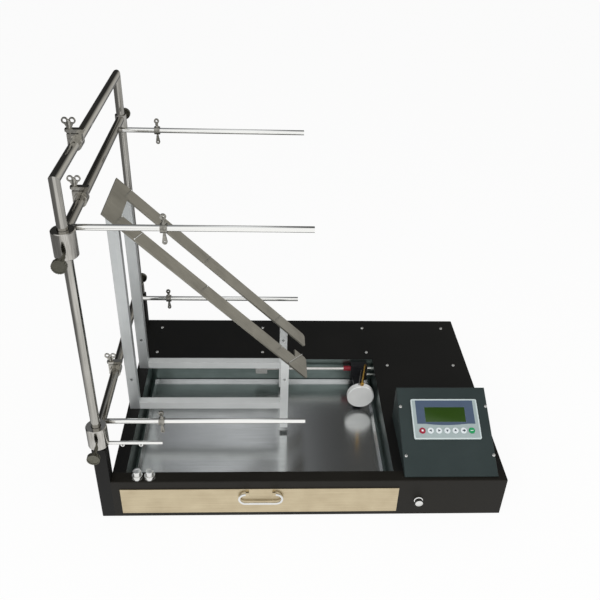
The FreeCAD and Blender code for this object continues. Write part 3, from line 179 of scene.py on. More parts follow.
@dataclass(frozen=True)
class PowderCoat(Finish):
    """Thick paint baked on folded steel: a fine orange peel, and edges that are rubbed paler."""

    rubbed: str
    # Real peel is finer than this. It is drawn as coarse as it needs to show.
    peel_mm: float = 1.6
    peel_depth_mm: float = 0.05
    edge_mm: float = 0.9
    drift_mm: float = 140.0
    sheen_level: float = 0.22
    drift_share: float = 0.22
    least_wear: float = 0.15
    most_wear: float = 0.7
    flat_cosine: float = 0.995
    edge_cosine: float = 0.80

    def build(self) -> Material:
        """Make the finished material.

        Returns:
            The material.
        """
        material, shader, add, place = self.start()
        peel = add("TexNoise", inputs={
            "Vector": place, "Scale": 1 / (self.peel_mm * MM), "Detail": 2.0, "Roughness": 0.6})
        drift = add("TexNoise", inputs={
            "Vector": place, "Scale": 1 / (self.drift_mm * MM), "Detail": 4.0, "Roughness": 0.55})
        bent = add("Bevel", BEVEL_SAMPLES, {"Radius": self.edge_mm * MM})
        flat = add("NewGeometry").outputs["Normal"]
        # An edge is where the softened and the true face turn apart. It is worn in spots only.
        turn = add("VectorMath", {"operation": "DOT_PRODUCT"}, {0: bent, 1: flat}).outputs["Value"]
        edge = add("MapRange", inputs={
            "Value": turn, "From Min": self.flat_cosine, "From Max": self.edge_cosine})
        spots = add("MapRange", inputs={
            "Value": drift, "From Min": 0.35, "From Max": 0.7,
            "To Min": self.least_wear, "To Max": self.most_wear})
        worn = add("Math", PRODUCT, {0: edge, 1: spots})
        shade = add("MapRange", inputs={"Value": drift, **NOISE_RANGE, "To Max": self.drift_share})
        body = add("Mix", COLOURS, {
            "Factor": shade, LOW: linear(self.colour), HIGH: linear(self.rubbed)}).outputs[MIXED]
        coat = add("Mix", COLOURS, {
            "Factor": worn, LOW: body, HIGH: linear(self.rubbed)}).outputs[MIXED]
        gloss = add("MapRange", inputs={
            "Value": drift, **NOISE_RANGE, "To Min": self.roughness - 0.05, "To Max": self.roughness + 0.06})
        bump = add("Bump", inputs={
            "Strength": 0.5, "Distance": self.peel_depth_mm * MM, "Height": peel, "Normal": bent})
        feed(shader, {"Specular IOR Level": self.sheen_level, "Base Color": coat, "Roughness": gloss,
                      "Normal": bump})
        return material


@dataclass(frozen=True)
class Metal(Finish):
    """Bare or plated metal: fine lines one way, faint smears, softened edges, and where asked a painted
    bright reflection past a given X.
    """

    shadow: str
    grain: Grain = Grain.EVEN
    # Real polishing lines are under 0.1 mm apart. They are drawn as coarse as they need to show.
    line_mm: float = 0.5
    reach_mm: float = 60.0
    depth_mm: float = 0.01
    spread: float = 0.08
    smear_mm: float = 45.0
    edge_mm: float = 0.5
    anisotropy: float = 0.0
    drawn_out: Grain = Grain.ALONG_Y
    metallic: float = 1.0
    # A painted bright reflection: its colour, and the X in millimetres past which it covers the metal.
    bright: str = ""
    painted_highlight_from_mm: float = 0.0

    def build(self) -> Material:
        """Make the finished material.

        Returns:
            The material.
        """
        material, shader, add, place = self.start()
        run = self.grain
        # A slanting grain runs along X in a frame that is turned with it.
        if run is Grain.DOWN_SLOPE:
            place = add("Mapping", inputs={
                "Vector": place, "Rotation": (0.0, -math.pi / 4, 0.0)}).outputs[0]
            run = Grain.ALONG_X
        scale = [1 / ((self.reach_mm if way else self.line_mm) * MM) for way in run.value]
        stretched = add("Mapping", inputs={"Vector": place, "Scale": scale})
        lines = add("TexNoise", inputs={
            "Vector": stretched, "Scale": 1.0, "Detail": 3.0, "Roughness": 0.6})
        smear = add("TexNoise", inputs={
            "Vector": place, "Scale": 1 / (self.smear_mm * MM), "Detail": 3.0})
        both = add("Math", {"operation": "MULTIPLY_ADD"}, {0: smear, 1: 0.5, 2: lines})
        tint = add("MapRange", inputs={"Value": both, **LINES_RANGE})
        colour = add("Mix", COLOURS, {
            "Factor": tint, LOW: linear(self.shadow), HIGH: linear(self.colour)}).outputs[MIXED]
        # Past the given X the colour turns to the painted bright reflection.
        if self.bright:
            across = add("SeparateXYZ", inputs={0: place}).outputs["X"]
            painted_highlight_mask = add("MapRange", inputs={
                "Value": across, "From Min": self.painted_highlight_from_mm * MM,
                "From Max": (self.painted_highlight_from_mm + 1) * MM})
            colour = add("Mix", COLOURS, {
                "Factor": painted_highlight_mask, LOW: colour, HIGH: linear(self.bright)}).outputs[MIXED]
        rough = add("MapRange", inputs={
            "Value": both, **LINES_RANGE, "To Min": self.roughness + self.spread,
            "To Max": max(self.roughness - self.spread, 0.02)})
        bump = add("Bump", inputs={
            "Strength": 0.4, "Distance": self.depth_mm * MM, "Height": lines})
        if self.edge_mm:
            bent = add("Bevel", BEVEL_SAMPLES, {"Radius": self.edge_mm * MM})
            feed(bump, {"Normal": bent})
        feed(shader, {"Metallic": self.metallic, "Base Color": colour, "Roughness": rough, "Normal": bump})
        if self.anisotropy:
            way = add("CombineXYZ", inputs=dict(zip("XYZ", self.drawn_out.value)))
            feed(shader, {"Anisotropic": self.anisotropy, "Tangent": way})
        return material


@dataclass(frozen=True)
class Moulded(Finish):
    """Moulded plastic or rubber: an even colour with a fine grit, and a slight clouding."""

    clouded: str
    # Real grit is finer than this. It is drawn as coarse as it needs to show.
    grit_mm: float = 0.8
    grit_depth_mm: float = 0.03
    cloud_mm: float = 25.0
    gloss_coat: float = 0.0
    edge_mm: float = 0.4
    refraction: float = 1.49

    def build(self) -> Material:
        """Make the finished material.

        Returns:
            The material.
        """
        material, shader, add, place = self.start()
        grit = add("TexNoise", inputs={
            "Vector": place, "Scale": 1 / (self.grit_mm * MM), "Detail": 2.0})
        cloud = add("TexNoise", inputs={
            "Vector": place, "Scale": 1 / (self.cloud_mm * MM), "Detail": 3.0})
        colour = add("Mix", COLOURS, {
            "Factor": cloud, LOW: linear(self.colour), HIGH: linear(self.clouded)}).outputs[MIXED]
        rough = add("MapRange", inputs={
            "Value": cloud, **NOISE_RANGE, "To Min": self.roughness - 0.04, "To Max": self.roughness + 0.05})
        bent = add("Bevel", BEVEL_SAMPLES, {"Radius": self.edge_mm * MM})
        bump = add("Bump", inputs={
            "Strength": 0.4, "Distance": self.grit_depth_mm * MM, "Height": grit, "Normal": bent})
        feed(shader, {"IOR": self.refraction, "Coat Weight": self.gloss_coat, "Base Color": colour,
                      "Roughness": rough, "Normal": bump})
        return material


@dataclass(frozen=True)
class CrystalWindow(Finish):
    """The clear window of a liquid crystal display, over its faint rows of cells."""

    cell: str
    pitch_mm: float = 4.0
    gap_mm: float = 0.3
    cloud_mm: float = 40.0
    gloss_coat: float = 0.1
    coat_roughness: float = 0.08

    def build(self) -> Material:
        """Make the finished material.

        Returns:
            The material.
        """
        material, shader, add, place = self.start()
        cells = add("TexBrick", {"offset": 0.0}, {
            "Vector": place, "Color1": linear(self.colour), "Color2": linear(self.cell),
            "Mortar": linear(self.colour), "Scale": 1.0, "Brick Width": self.pitch_mm * MM,
            "Row Height": 2 * self.pitch_mm * MM, "Mortar Size": self.gap_mm * MM})
        cloud = add("TexNoise", inputs={
            "Vector": place, "Scale": 1 / (self.cloud_mm * MM), "Detail": 1.0})
        colour = add("Mix", COLOURS, {
            "Factor": cloud, LOW: cells, HIGH: linear(self.colour)}).outputs[MIXED]
        feed(shader, {"Coat Weight": self.gloss_coat, "Coat Roughness": self.coat_roughness,
                      "Base Color": colour})
        return material


# What alike finishes share.
POLISHED = dict(depth_mm=0.0006, spread=0.02, edge_mm=0.0, smear_mm=120.0)
CAST = dict(line_mm=5.0, reach_mm=5.0, depth_mm=0.002, edge_mm=0.0)
ANODISED = dict(reach_mm=150.0, depth_mm=0.003)
KEY = dict(gloss_coat=0.3)

# Every finish of the tester, each with what it is and what it gives the eye.
FINISHES: dict[str, Finish] = {
    # Black powder coat: deep and dull, with a faint peel and paler edges.
    "cabinet": PowderCoat("black_powder_coat", "#0e0e0d", 0.52, "#232220"),
    # The same coat with the warm light on the front painted in: a little browner.
    "front": PowderCoat("black_powder_coat_front_painted_warm_light", "#15130f", 0.52, "#2a2822"),
    # Sprayed enamel: grey-green, with a finer peel and more gloss.
    "console": PowderCoat("grey_green_enamel", "#2b3434", 0.46, "#465150", peel_mm=1.2),
    # Zinc plating: flat light grey.
    "sheet": Metal("zinc_plated_sheet", "#a9aaa6", 0.42, "#8a8c89"),
    # Rolled stainless dulled by use: bluish, with long soft lines.
    "liner": Metal("dull_stainless_sheet", "#8b9895", 0.36, "#6d7976", Grain.ALONG_X, reach_mm=90.0),
    # Brushed stainless: mirrors what stands over it, drawn out into soft streaks.
    "tray": Metal("brushed_stainless_tray", "#dfe1e1", 0.20, "#c2c4c4", Grain.ALONG_X,
                  reach_mm=160.0, line_mm=0.8, depth_mm=0.002, anisotropy=0.6, smear_mm=160.0, spread=0.04),
    # Brushed stainless with warm light painted in: pale straw, with level lines.
    "drawer": Metal("brushed_stainless_painted_warm_light", "#d8caab", 0.36, "#bdad8f", Grain.ALONG_X,
                    reach_mm=140.0, line_mm=0.7),
    # Polished tube: a near mirror, streaked light and dark along its length.
    "post": Metal("polished_stainless_upright", "#cac8c2", 0.08, "#96948e", Grain.ALONG_Z, **POLISHED),
    # Polished crossbars with their dark reflection painted in as a darker base, and a painted bright
    # reflection on the rods to the right of them, which stand out bright.
    "bar": Metal("polished_stainless_bars_painted_dark_rods_painted_bright", "#8b8882", 0.10, "#96948e", Grain.ALONG_Y,
                 bright="#f3f3f0", painted_highlight_from_mm=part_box("top_clamp")[1].x / MM, **POLISHED),
    # Ground rod with a painted brightness in its near-white base: a white core between dark edges.
    "rod": Metal("polished_stainless_rod_painted_bright", "#f0efec", 0.09, "#cbc9c4", Grain.ALONG_X, **POLISHED),
    # Turned stainless: upright bands of light and dark.
    "collar": Metal("turned_stainless", "#cccac5", 0.13, "#9f9c95", Grain.ALONG_Z, reach_mm=30.0,
                    line_mm=1.6, depth_mm=0.0008, spread=0.03, edge_mm=0.0),
    # Chrome plate: the brightest and sharpest mirror on the tester.
    "chrome": Metal("bright_chrome_plate", "#eeeeec", 0.10, "#dadad8", spread=0.03, depth_mm=0.0008,
                    edge_mm=0.0),
    # Cast knob with painted shade in its dark base: a dark dull knob with rubbed high spots.
    "lock": Metal("cast_lock_knob_painted_shade", "#77766c", 0.30, "#5a594f", spread=0.06, depth_mm=0.004,
                  line_mm=2.0, reach_mm=2.0),
    # Polished casting: bright, with soft dark patches.
    "clamp": Metal("polished_cast_stainless", "#c6c4bd", 0.14, "#918e87", spread=0.03, **CAST),
    # The same, less polished and greyer.
    "eye": Metal("cast_steel_eye", "#aaa8a1", 0.20, "#75736c", spread=0.04, **CAST),
    # Anodised aluminium: its oxide scatters light like a pale paint, so it is only partly a mirror.
    "stand": Metal("satin_anodised_aluminium", "#dde0e0", 0.44, "#cfd3d3", Grain.ALONG_Z,
                   metallic=0.8, **ANODISED),
    # The same on the level bars, paler as painted light where the light meets them squarely.
    "stand_bar": Metal("satin_anodised_aluminium_bar_painted_light", "#eceeed", 0.42, "#dde0df", Grain.ALONG_X,
                       metallic=0.4, **ANODISED),
    # Brushed stainless with painted shade: a base darkened to warm grey, with lines down the slope.
    "holder": Metal("brushed_stainless_painted_shade", "#9c998f", 0.34, "#827f76", Grain.DOWN_SLOPE,
                    reach_mm=80.0, line_mm=0.6, anisotropy=0.3, depth_mm=0.003),
    # Turned and frosted aluminium: nearly white.
    "drum": Metal("bright_turned_aluminium", "#f1f1ef", 0.46, "#e6e7e5", line_mm=1.2, reach_mm=1.2,
                  depth_mm=0.002, metallic=0.2),
    # Drawn brass: golden, a little tarnished.
    "brass": Metal("drawn_brass", "#c29a4c", 0.22, "#94733a", Grain.ALONG_Z),
    # Steel in the flame: grey-brown and dull.
    "spark": Metal("heat_dulled_steel", "#8d8a88", 0.42, "#5c5650", Grain.ALONG_Z),
    # Black anodised block: smoother and a little bluer than the coat.
    "arm": PowderCoat("black_anodised_block", "#1b1b1d", 0.38, "#3a3a3c", edge_mm=0.5),
    # Extruded aluminium as it comes: plain grey with die lines.
    "inner": Metal("extruded_aluminium", "#a8a9aa", 0.38, "#8c8d8e", Grain.ALONG_X),
    # Moulded rubber: black without gloss.
    "rubber": Moulded("black_rubber", "#151515", 0.80, "#1f1f1e", grit_mm=1.2),
    # Moulded plastics: even colours with a soft gloss.
    "bumper": Moulded("dark_red_plastic", "#8a1526", 0.35, "#650f1b"),
    "inner_plastic": Moulded("black_moulded_plastic", "#1c1c1c", 0.50, "#262626"),
    "panel": Moulded("pale_moulded_abs", "#a3b0b0", 0.48, "#98a5a5"),
    # The display's rim: a paler copy of the panel's plastic, a painted highlight on its raised edges.
    "painted_highlight_rim": Moulded("abs_rim_painted_highlight", "#cbd6d6", 0.42, "#bfcaca"),
    # Film printed from behind: smooth, blue-grey, without grit.
    "film": Moulded("blue_grey_printed_film", "#4c5b70", 0.36, "#435167", grit_depth_mm=0.01),
    # Unlit display: deep green with a faint grid.
    "window": CrystalWindow("liquid_crystal_window", "#254105", 0.34, "#294608"),
    # Moulded keys with a clear coat: saturated and glossy.
    "red_key": Moulded("crimson_moulded_key", "#a3203a", 0.34, "#8d1a32", **KEY),
    "white_key": Moulded("white_moulded_key", "#dfe5e7", 0.34, "#d2d9dc", **KEY),
    "green_key": Moulded("green_moulded_key", "#1c9a5c", 0.34, "#178650", **KEY),
    # Printed signs: flat ink.
    "ink": Moulded("dark_key_print", "#39414a", 0.50, "#424b55"),
    "pale_ink": Moulded("pale_key_print", "#e8eef0", 0.50, "#dbe2e5"),
    # Nickel plate: small bright points.
    "screw": Metal("nickel_plated_screw", "#f2f2f0", 0.26, "#dededc"),
}

# The tester's materials, by the keys of their finishes.
Palette = dict[str, Material]


# Modelling helpers

def begin(name: str) -> Object:
    """Name the primitive that was just added.

    Args:
        name: The piece's own name.

    Returns:
        The new piece.
    """
    piece = bpy.context.object
    piece.name = name
    piece.data.name = name
    return piece


def clear_selection() -> None:
    """Deselect everything, so that the next primitive stands alone."""
    bpy.ops.object.select_all(action="DESELECT")


def choose(piece: Object) -> None:
    """Select one piece only, and make it the active one.

    Args:
        piece: The piece.
    """
    clear_selection()
    piece.select_set(True)
    bpy.context.view_layer.objects.active = piece


@contextmanager
def editing(piece: Object, mode: str = "FACE") -> Iterator[None]:
    """Work on a piece in edit mode.

    Args:
        piece: The piece to shape.
        mode: Which elements are picked: VERT, EDGE or FACE.

    Yields:
        Nothing. Edit mode is left again at the end.
    """
    choose(piece)
    bpy.ops.object.mode_set(mode="EDIT")
    bpy.ops.mesh.select_mode(type=mode)
    yield
    bpy.ops.object.mode_set(mode="OBJECT")


def pick(piece: Object, wanted: Callable, kind: str = "faces") -> None:
    """Select the elements of the piece in edit mode that a test names, and no others.

    Args:
        piece: The piece in edit mode.
        wanted: A test of one element.
        kind: "verts", "edges" or "faces".
    """
    bpy.ops.mesh.select_all(action="DESELECT")
    mesh = bmesh.from_edit_mesh(piece.data)
    mesh.normal_update()
    for item in [item for item in getattr(mesh, kind) if wanted(item)]:
        item.select_set(True)
    bmesh.update_edit_mesh(piece.data)


def soften(piece: Object, width: float, segments: int) -> None:
    """Round the piece's sharp edges with an applied bevel.

    Args:
        piece: The piece.
        width: The bevel's width in metres.
        segments: The steps across the bevel.
    """
    choose(piece)
    bevel = piece.modifiers.new("soft_edges", "BEVEL")
    bevel.width, bevel.segments = width, segments
    bevel.limit_method, bevel.angle_limit = "ANGLE", SHARP_ANGLE
    bevel.harden_normals = False
    bpy.ops.object.modifier_apply(modifier=bevel.name)


def face_out() -> None:
    """Turn all faces of the piece in edit mode outwards."""
    bpy.ops.mesh.select_all(action="SELECT")
    bpy.ops.mesh.normals_make_consistent(inside=False)


def settle(piece: Object, place: Matrix, finish: Material, body: str) -> None:
    """Put a shaped piece in its place, dress it and let it ride.

    Args:
        piece: The piece, shaped about its own origin.
        place: Where its origin goes in the part's frame.
        finish: Its material.
        body: The body that it moves with.
    """
    choose(piece)
    piece.matrix_world = place @ piece.matrix_world
    bpy.ops.object.transform_apply()
    bpy.ops.object.shade_smooth_by_angle(angle=SHARP_ANGLE)
    piece.data.materials.append(finish)
    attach(piece, body)
    log.info("%s: %d faces, rides on %s", piece.name, len(piece.data.polygons), body)


def turned(name: str, profile: list[tuple[float, float]], sides: int) -> Object:
    """A turned form about Z, made by spinning its half outline once round.

    Args:
        name: The piece's name.
        profile: Radius and height at each corner, from the foot's axis to the top's, in metres.
        sides: Steps round the axis.

    Returns:
        The piece, closed and merged.
    """
    clear_selection()
    bpy.ops.mesh.primitive_circle_add(vertices=3, radius=MM)
    piece = begin(name)
    with editing(piece, "VERT"):
        bpy.ops.mesh.select_all(action="SELECT")
        bpy.ops.mesh.delete(type="VERT")
        mesh = bmesh.from_edit_mesh(piece.data)
        points = [mesh.verts.new((radius, 0, height)) for radius, height in profile]
        for first, second in zip(points, points[1:]):
            mesh.edges.new((first, second))
        bmesh.update_edit_mesh(piece.data)
        bpy.ops.mesh.select_all(action="SELECT")
        bpy.ops.mesh.spin(steps=sides, angle=2 * math.pi, center=(0, 0, 0), axis=(0, 0, 1))
        bpy.ops.mesh.select_all(action="SELECT")
        bpy.ops.mesh.remove_doubles(threshold=WELD)
        face_out()
    return piece


def slab(name: str, low: Vector, high: Vector, corner: float, edge: float) -> Object:
    """A flat plate with rounded corners and softened edges.

    Args:
        name: The piece's name.
        low: Its lowest corner.
        high: Its highest corner.
        corner: The radius of its upright corners.
        edge: The width of the bevel round its faces.

    Returns:
        The plate.
    """
    clear_selection()
    bpy.ops.mesh.primitive_cube_add(size=1, location=(low + high) / 2, scale=high - low)
    bpy.ops.object.transform_apply()
    piece = begin(name)
    with editing(piece, "EDGE"):
        pick(piece, lambda item: abs((item.verts[0].co - item.verts[1].co).normalized().z) > ALONG, "edges")
        bpy.ops.mesh.bevel(offset=corner, segments=5, affect="EDGES")
    soften(piece, edge, 2)
    return piece


def joined(name: str, pieces: list[Object]) -> Object:
    """Join pieces into one.

    Args:
        name: The name of the whole.
        pieces: The pieces, whose own frames are alike.

    Returns:
        The whole, in the first piece's frame.
    """
    clear_selection()
    for piece in pieces:
        piece.select_set(True)
    bpy.context.view_layer.objects.active = pieces[0]
    bpy.ops.object.join()
    return begin(name)


def copy_at(piece: Object, place: Matrix) -> Object:
    """A copy of a piece, moved within its mesh.

    Args:
        piece: The piece to copy.
        place: How the copy moves.

    Returns:
        The copy.
    """
    choose(piece)
    bpy.ops.object.duplicate()
    made = bpy.context.object
    made.matrix_world = place @ made.matrix_world
    bpy.ops.object.transform_apply()
    return made


# Sub-assemblies

class Assembly:
    """A group of the tester's pieces that are dressed together."""

    # The CAD nodes that wear each finish.
    WEARS: dict[str, tuple[str, ...]] = {}

    def __init__(self, palette: Palette) -> None:
        """Keep the materials.

        Args:
            palette: The tester's materials.
        """
        self.palette = palette

    def build(self) -> None:
        """Dress the group's CAD nodes."""
        for finish, nodes in self.WEARS.items():
            for name in nodes:
                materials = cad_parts[name].data.materials
                materials.clear()
                materials.append(self.palette[finish])
                log.info("%s wears %s", name, finish)


def head_places(node: Object, radius: float) -> list[tuple[float, float]]:
    """Where a CAD node's round heads stand, seen from above.

    Args:
        node: The node with all the heads.
        radius: The radius of one head.

    Returns:
        The middle of each head, right and back.
    """
    groups: list[list[Vector]] = []
    for vert in node.data.vertices:
        near = [group for group in groups if (group[0].xy - vert.co.xy).length < 3 * radius]
        if near:
            near[0].append(vert.co)
        else:
            groups.append([vert.co])
    return [((min(spot.x for spot in group) + max(spot.x for spot in group)) / 2,
             (min(spot.y for spot in group) + max(spot.y for spot in group)) / 2) for group in groups]


@dataclass
class PanHead:
    """A pan-head screw with a cross recess, modelled once and copied."""

    width: float = 9 * MM
    rise: float = 2.4 * MM
    slot: float = 1.1 * MM
    slot_reach: float = 0.46
    slot_depth: float = 0.5

    def model(self, name: str) -> Object:
        """Model the head about its own origin, standing on z = 0.

        Args:
            name: The piece's name.

        Returns:
            The head.
        """
        radius = self.width / 2
        # A straight skirt, then a crown that flattens towards its middle.
        outline = [(0, 0), (radius, 0), (radius, self.rise * 0.35), (radius * 0.9, self.rise * 0.7),
                   (radius * 0.68, self.rise * 0.95), (radius * 0.5, self.rise), (0, self.rise)]
        head = turned(name, outline, 32)
        with editing(head):
            for across in (Vector((1, 0, 0)), Vector((0, 1, 0))):
                for side in (-1, 1):
                    plane = across * self.slot / 2 * side
                    bpy.ops.mesh.select_all(action="SELECT")
                    bpy.ops.mesh.bisect(plane_co=plane, plane_no=across)
            reach = radius * self.slot_reach

            def in_cross(face: bmesh.types.BMFace) -> bool:
                """Whether a face lies in the cross on the crown.

                Args:
                    face: A face of the head.

                Returns:
                    True where the recess goes in.
                """
                middle = face.calc_center_median()
                inside = min(abs(middle.x), abs(middle.y)) < self.slot / 2
                return inside and face.normal.z > ALONG and middle.xy.length < reach
            pick(head, in_cross)
            down = (0, 0, -self.rise * self.slot_depth)
            bpy.ops.mesh.extrude_region_move(TRANSFORM_OT_translate={"value": down})
        return head


@dataclass
class KnurledKnob:
    """A turned knob with a stem and two knurled tiers."""

    stem: float = 4 * MM
    lower: float = 12 * MM
    upper: float = 9.6 * MM
    stem_length: float = 12 * MM
    lift: float = 0.5 * MM
    step: float = 9.9 * MM
    groove: float = 1.1 * MM
    height: float = 22 * MM
    edge: float = 0.7 * MM
    flutes: int = 26
    flute_inset: float = 0.12 * MM
    flute_depth: float = 0.5 * MM
    rim_share: float = 0.95

    def model(self, name: str) -> Object:
        """Model the knob about its own axis, with the deck's top at z = 0.

        Args:
            name: The piece's name.

        Returns:
            The knob.
        """
        edge, shoulder = self.edge, self.step + self.groove
        # The stem, the lower tier, the groove, the upper tier and its dished crown.
        outline = [(0, -self.stem_length), (self.stem, -self.stem_length), (self.stem, self.lift),
                   (self.lower - edge, self.lift), (self.lower, self.lift + edge),
                   (self.lower, self.step - edge), (self.lower - edge, self.step),
                   (self.upper - edge, self.step), (self.upper - edge, shoulder),
                   (self.upper, shoulder + edge), (self.upper, self.height - 2 * edge),
                   (self.upper - 2 * edge, self.height), (self.upper * 0.5, self.height),
                   (self.upper * 0.45, self.height - edge), (0, self.height - edge)]
        knob = turned(name, outline, 2 * self.flutes)
        tiers = ((self.lower, (self.lift + self.step) / 2), (self.upper, (shoulder + self.height - edge) / 2))

        def in_flute(face: bmesh.types.BMFace) -> bool:
            """Whether a face is every second one of a tier's band.

            Args:
                face: A face of the knob.

            Returns:
                True where a flute goes in.
            """
            spot = face.calc_center_median()
            turn = math.floor(math.atan2(spot.y, spot.x) * self.flutes / math.pi)
            band = any(abs(spot.z - middle) < edge and spot.xy.length > radius * self.rim_share
                       for radius, middle in tiers)
            return band and turn % 2 == 0
        with editing(knob):
            pick(knob, in_flute)
            bpy.ops.mesh.inset(thickness=self.flute_inset, depth=-self.flute_depth, use_individual=True)
        return knob


class Cabinet(Assembly):
    """The low cabinet with its deck, well and feet, and the two sockets at its side."""

    WEARS = {"cabinet": ("wall_wrap", "deck_cover", "post_sockets"), "front": ("front_panel",),
             "sheet": ("bottom_plate",), "liner": ("well_liner",), "rubber": ("feet",),
             "screw": ("cover_screws",)}

    def build(self) -> None:
        """Dress the nodes and add the deck's screws."""
        super().build()
        self.add_screws()

    def add_screws(self) -> None:
        """The deck's screws, one head modelled and the others copied from it."""
        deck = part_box("deck_cover")[1].z
        heads = PanHead()
        first = heads.model("deck_screws")
        places = head_places(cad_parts["cover_screws"], heads.width / 2)
        pieces = [copy_at(first, Matrix.Translation((*place, deck))) for place in places]
        bpy.data.objects.remove(first)
        log.info("%d deck screws", len(pieces))
        piece = joined("deck_screws", pieces)
        settle(piece, Matrix(), self.palette["screw"], "base")
        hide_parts("cover_screws")


class PostFrame(Assembly):
    """The tall frame of polished tube and its two sliding carriages."""

    WEARS = {"post": ("post_frame",), "bar": ("upper_bars", "lower_bars"),
             "collar": ("upper_collars", "lower_collars"),
             "lock": ("upper_front_knob", "upper_rear_knob", "lower_front_knob", "lower_rear_knob"),
             "eye": ("upper_front_eye_collar", "upper_rear_eye_collar", "lower_front_eye_collar",
                     "lower_rear_eye_collar"),
             "clamp": ("top_clamp", "top_wing_screw", "upper_clamp", "upper_wing_screw", "lower_clamp",
                       "lower_wing_screw")}


class Stand(Assembly):
    """The aluminium stand and the sloping specimen holder."""

    WEARS = {"stand": ("stand_uprights",), "stand_bar": ("stand_bars",),
             "holder": ("holder_lower", "holder_upper"), "chrome": ("holder_pins", "thread_guides")}


class Drawer(Assembly):
    """The drip tray, its front and its bail handle."""

    WEARS = {"tray": ("tray",), "drawer": ("drawer_front",), "chrome": ("drawer_handle",)}


class Burner(Assembly):
    """The tilting drum with its tube and spark rod, and the carriage that brings it forward."""

    WEARS = {"drum": ("burner_drum",), "brass": ("burner_tube",), "spark": ("igniter",),
             "arm": ("burner_carriage",), "bumper": ("carriage_bumper",),
             "rod": ("guide_rod", "actuator_rod")}


class Services(Assembly):
    """The gas, spark and power pieces inside and behind the cabinet, and the knobs in front."""

    VALVE_KNOBS = ("first_valve_knob", "second_valve_knob")
    WEARS = {"brass": ("gas_inlet", "gas_valve"), "inner": ("linear_actuator",),
             "inner_plastic": ("ignition_unit", "power_inlet"), "chrome": (*VALVE_KNOBS, "power_knob")}

    def build(self) -> None:
        """Dress the nodes and add the two valves' knurled knobs."""
        super().build()
        for name in self.VALVE_KNOBS:
            low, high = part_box(name)
            shape = KnurledKnob()
            foot = ((low.x + high.x) / 2, (low.y + high.y) / 2, low.z + shape.stem_length)
            knob = shape.model(f"knurled_{name}")
            settle(knob, Matrix.Translation(foot), self.palette["chrome"], name)
            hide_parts(name)


@dataclass(frozen=True)
class Sign:
    """A key's plain sign: a flat print with three or four sides, perhaps stretched or with a tail."""

    key: str
    turn: float
    sides: int = 3
    stretch: tuple[float, float] | None = None
    tail: float = 0.0
    finish: str = "ink"
    slot: str = "white_key_plastic"


class KeyMark(Enum):
    """The signs of the keys from left to right. A turn of 0 points up the face."""

    STOP = Sign("stop_key", math.pi / 4, 4, (0.85, 0.85), finish="pale_ink", slot="red_key_plastic")
    LEFT = Sign("left_key", math.pi / 2)
    RIGHT = Sign("right_key", -math.pi / 2)
    DOWN = Sign("down_key", -math.pi)
    UP = Sign("up_key", 0.0)
    ENTER = Sign("enter_key", math.pi / 2, tail=2.4 * MM)
    START = Sign("start_key", math.pi / 4, 4, (1.25, 0.32), finish="pale_ink", slot="green_key_plastic")


@dataclass
class ConsoleSizes:
    """Sizes of the console's face, measured right along it, up it and out of it."""

    slope: float = math.radians(24.75)
    lip: float = 3 * MM
    display_left: float = 31 * MM
    display_front: float = 88.5 * MM
    display_length: float = 162.5 * MM
    display_width: float = 103 * MM
    display_rise: float = 3 * MM
    display_corner: float = 4 * MM
    rim: float = 3.2 * MM
    rim_rise: float = 0.7 * MM
    rim_edge: float = 0.2 * MM
    film_left: float = 42 * MM
    film_right: float = 183 * MM
    film_low: float = 127.5 * MM
    film_high: float = 189.5 * MM
    # How far the film's lower edge bows down: a painted curved shadow in the film's dark colour.
    film_painted_shadow_bow: float = 3.5 * MM
    film_rise: float = 0.25 * MM
    film_gap: float = 0.02 * MM
    film_edge: float = 0.08 * MM
    window_left: float = 62.7 * MM
    window_low: float = 132.0 * MM
    window_length: float = 98.6 * MM
    window_width: float = 38.5 * MM
    window_depth: float = 1.2 * MM
    window_proud: float = 0.1 * MM
    window_gap: float = 0.15 * MM
    window_corner: float = 0.6 * MM
    key_line: float = 110 * MM
    key_pitch: float = 19.9 * MM
    key_top: float = 4.6 * MM
    mark: float = 3.9 * MM
    mark_height: float = 0.16 * MM
    mark_edge: float = 0.05 * MM
    tail_share: float = 0.3


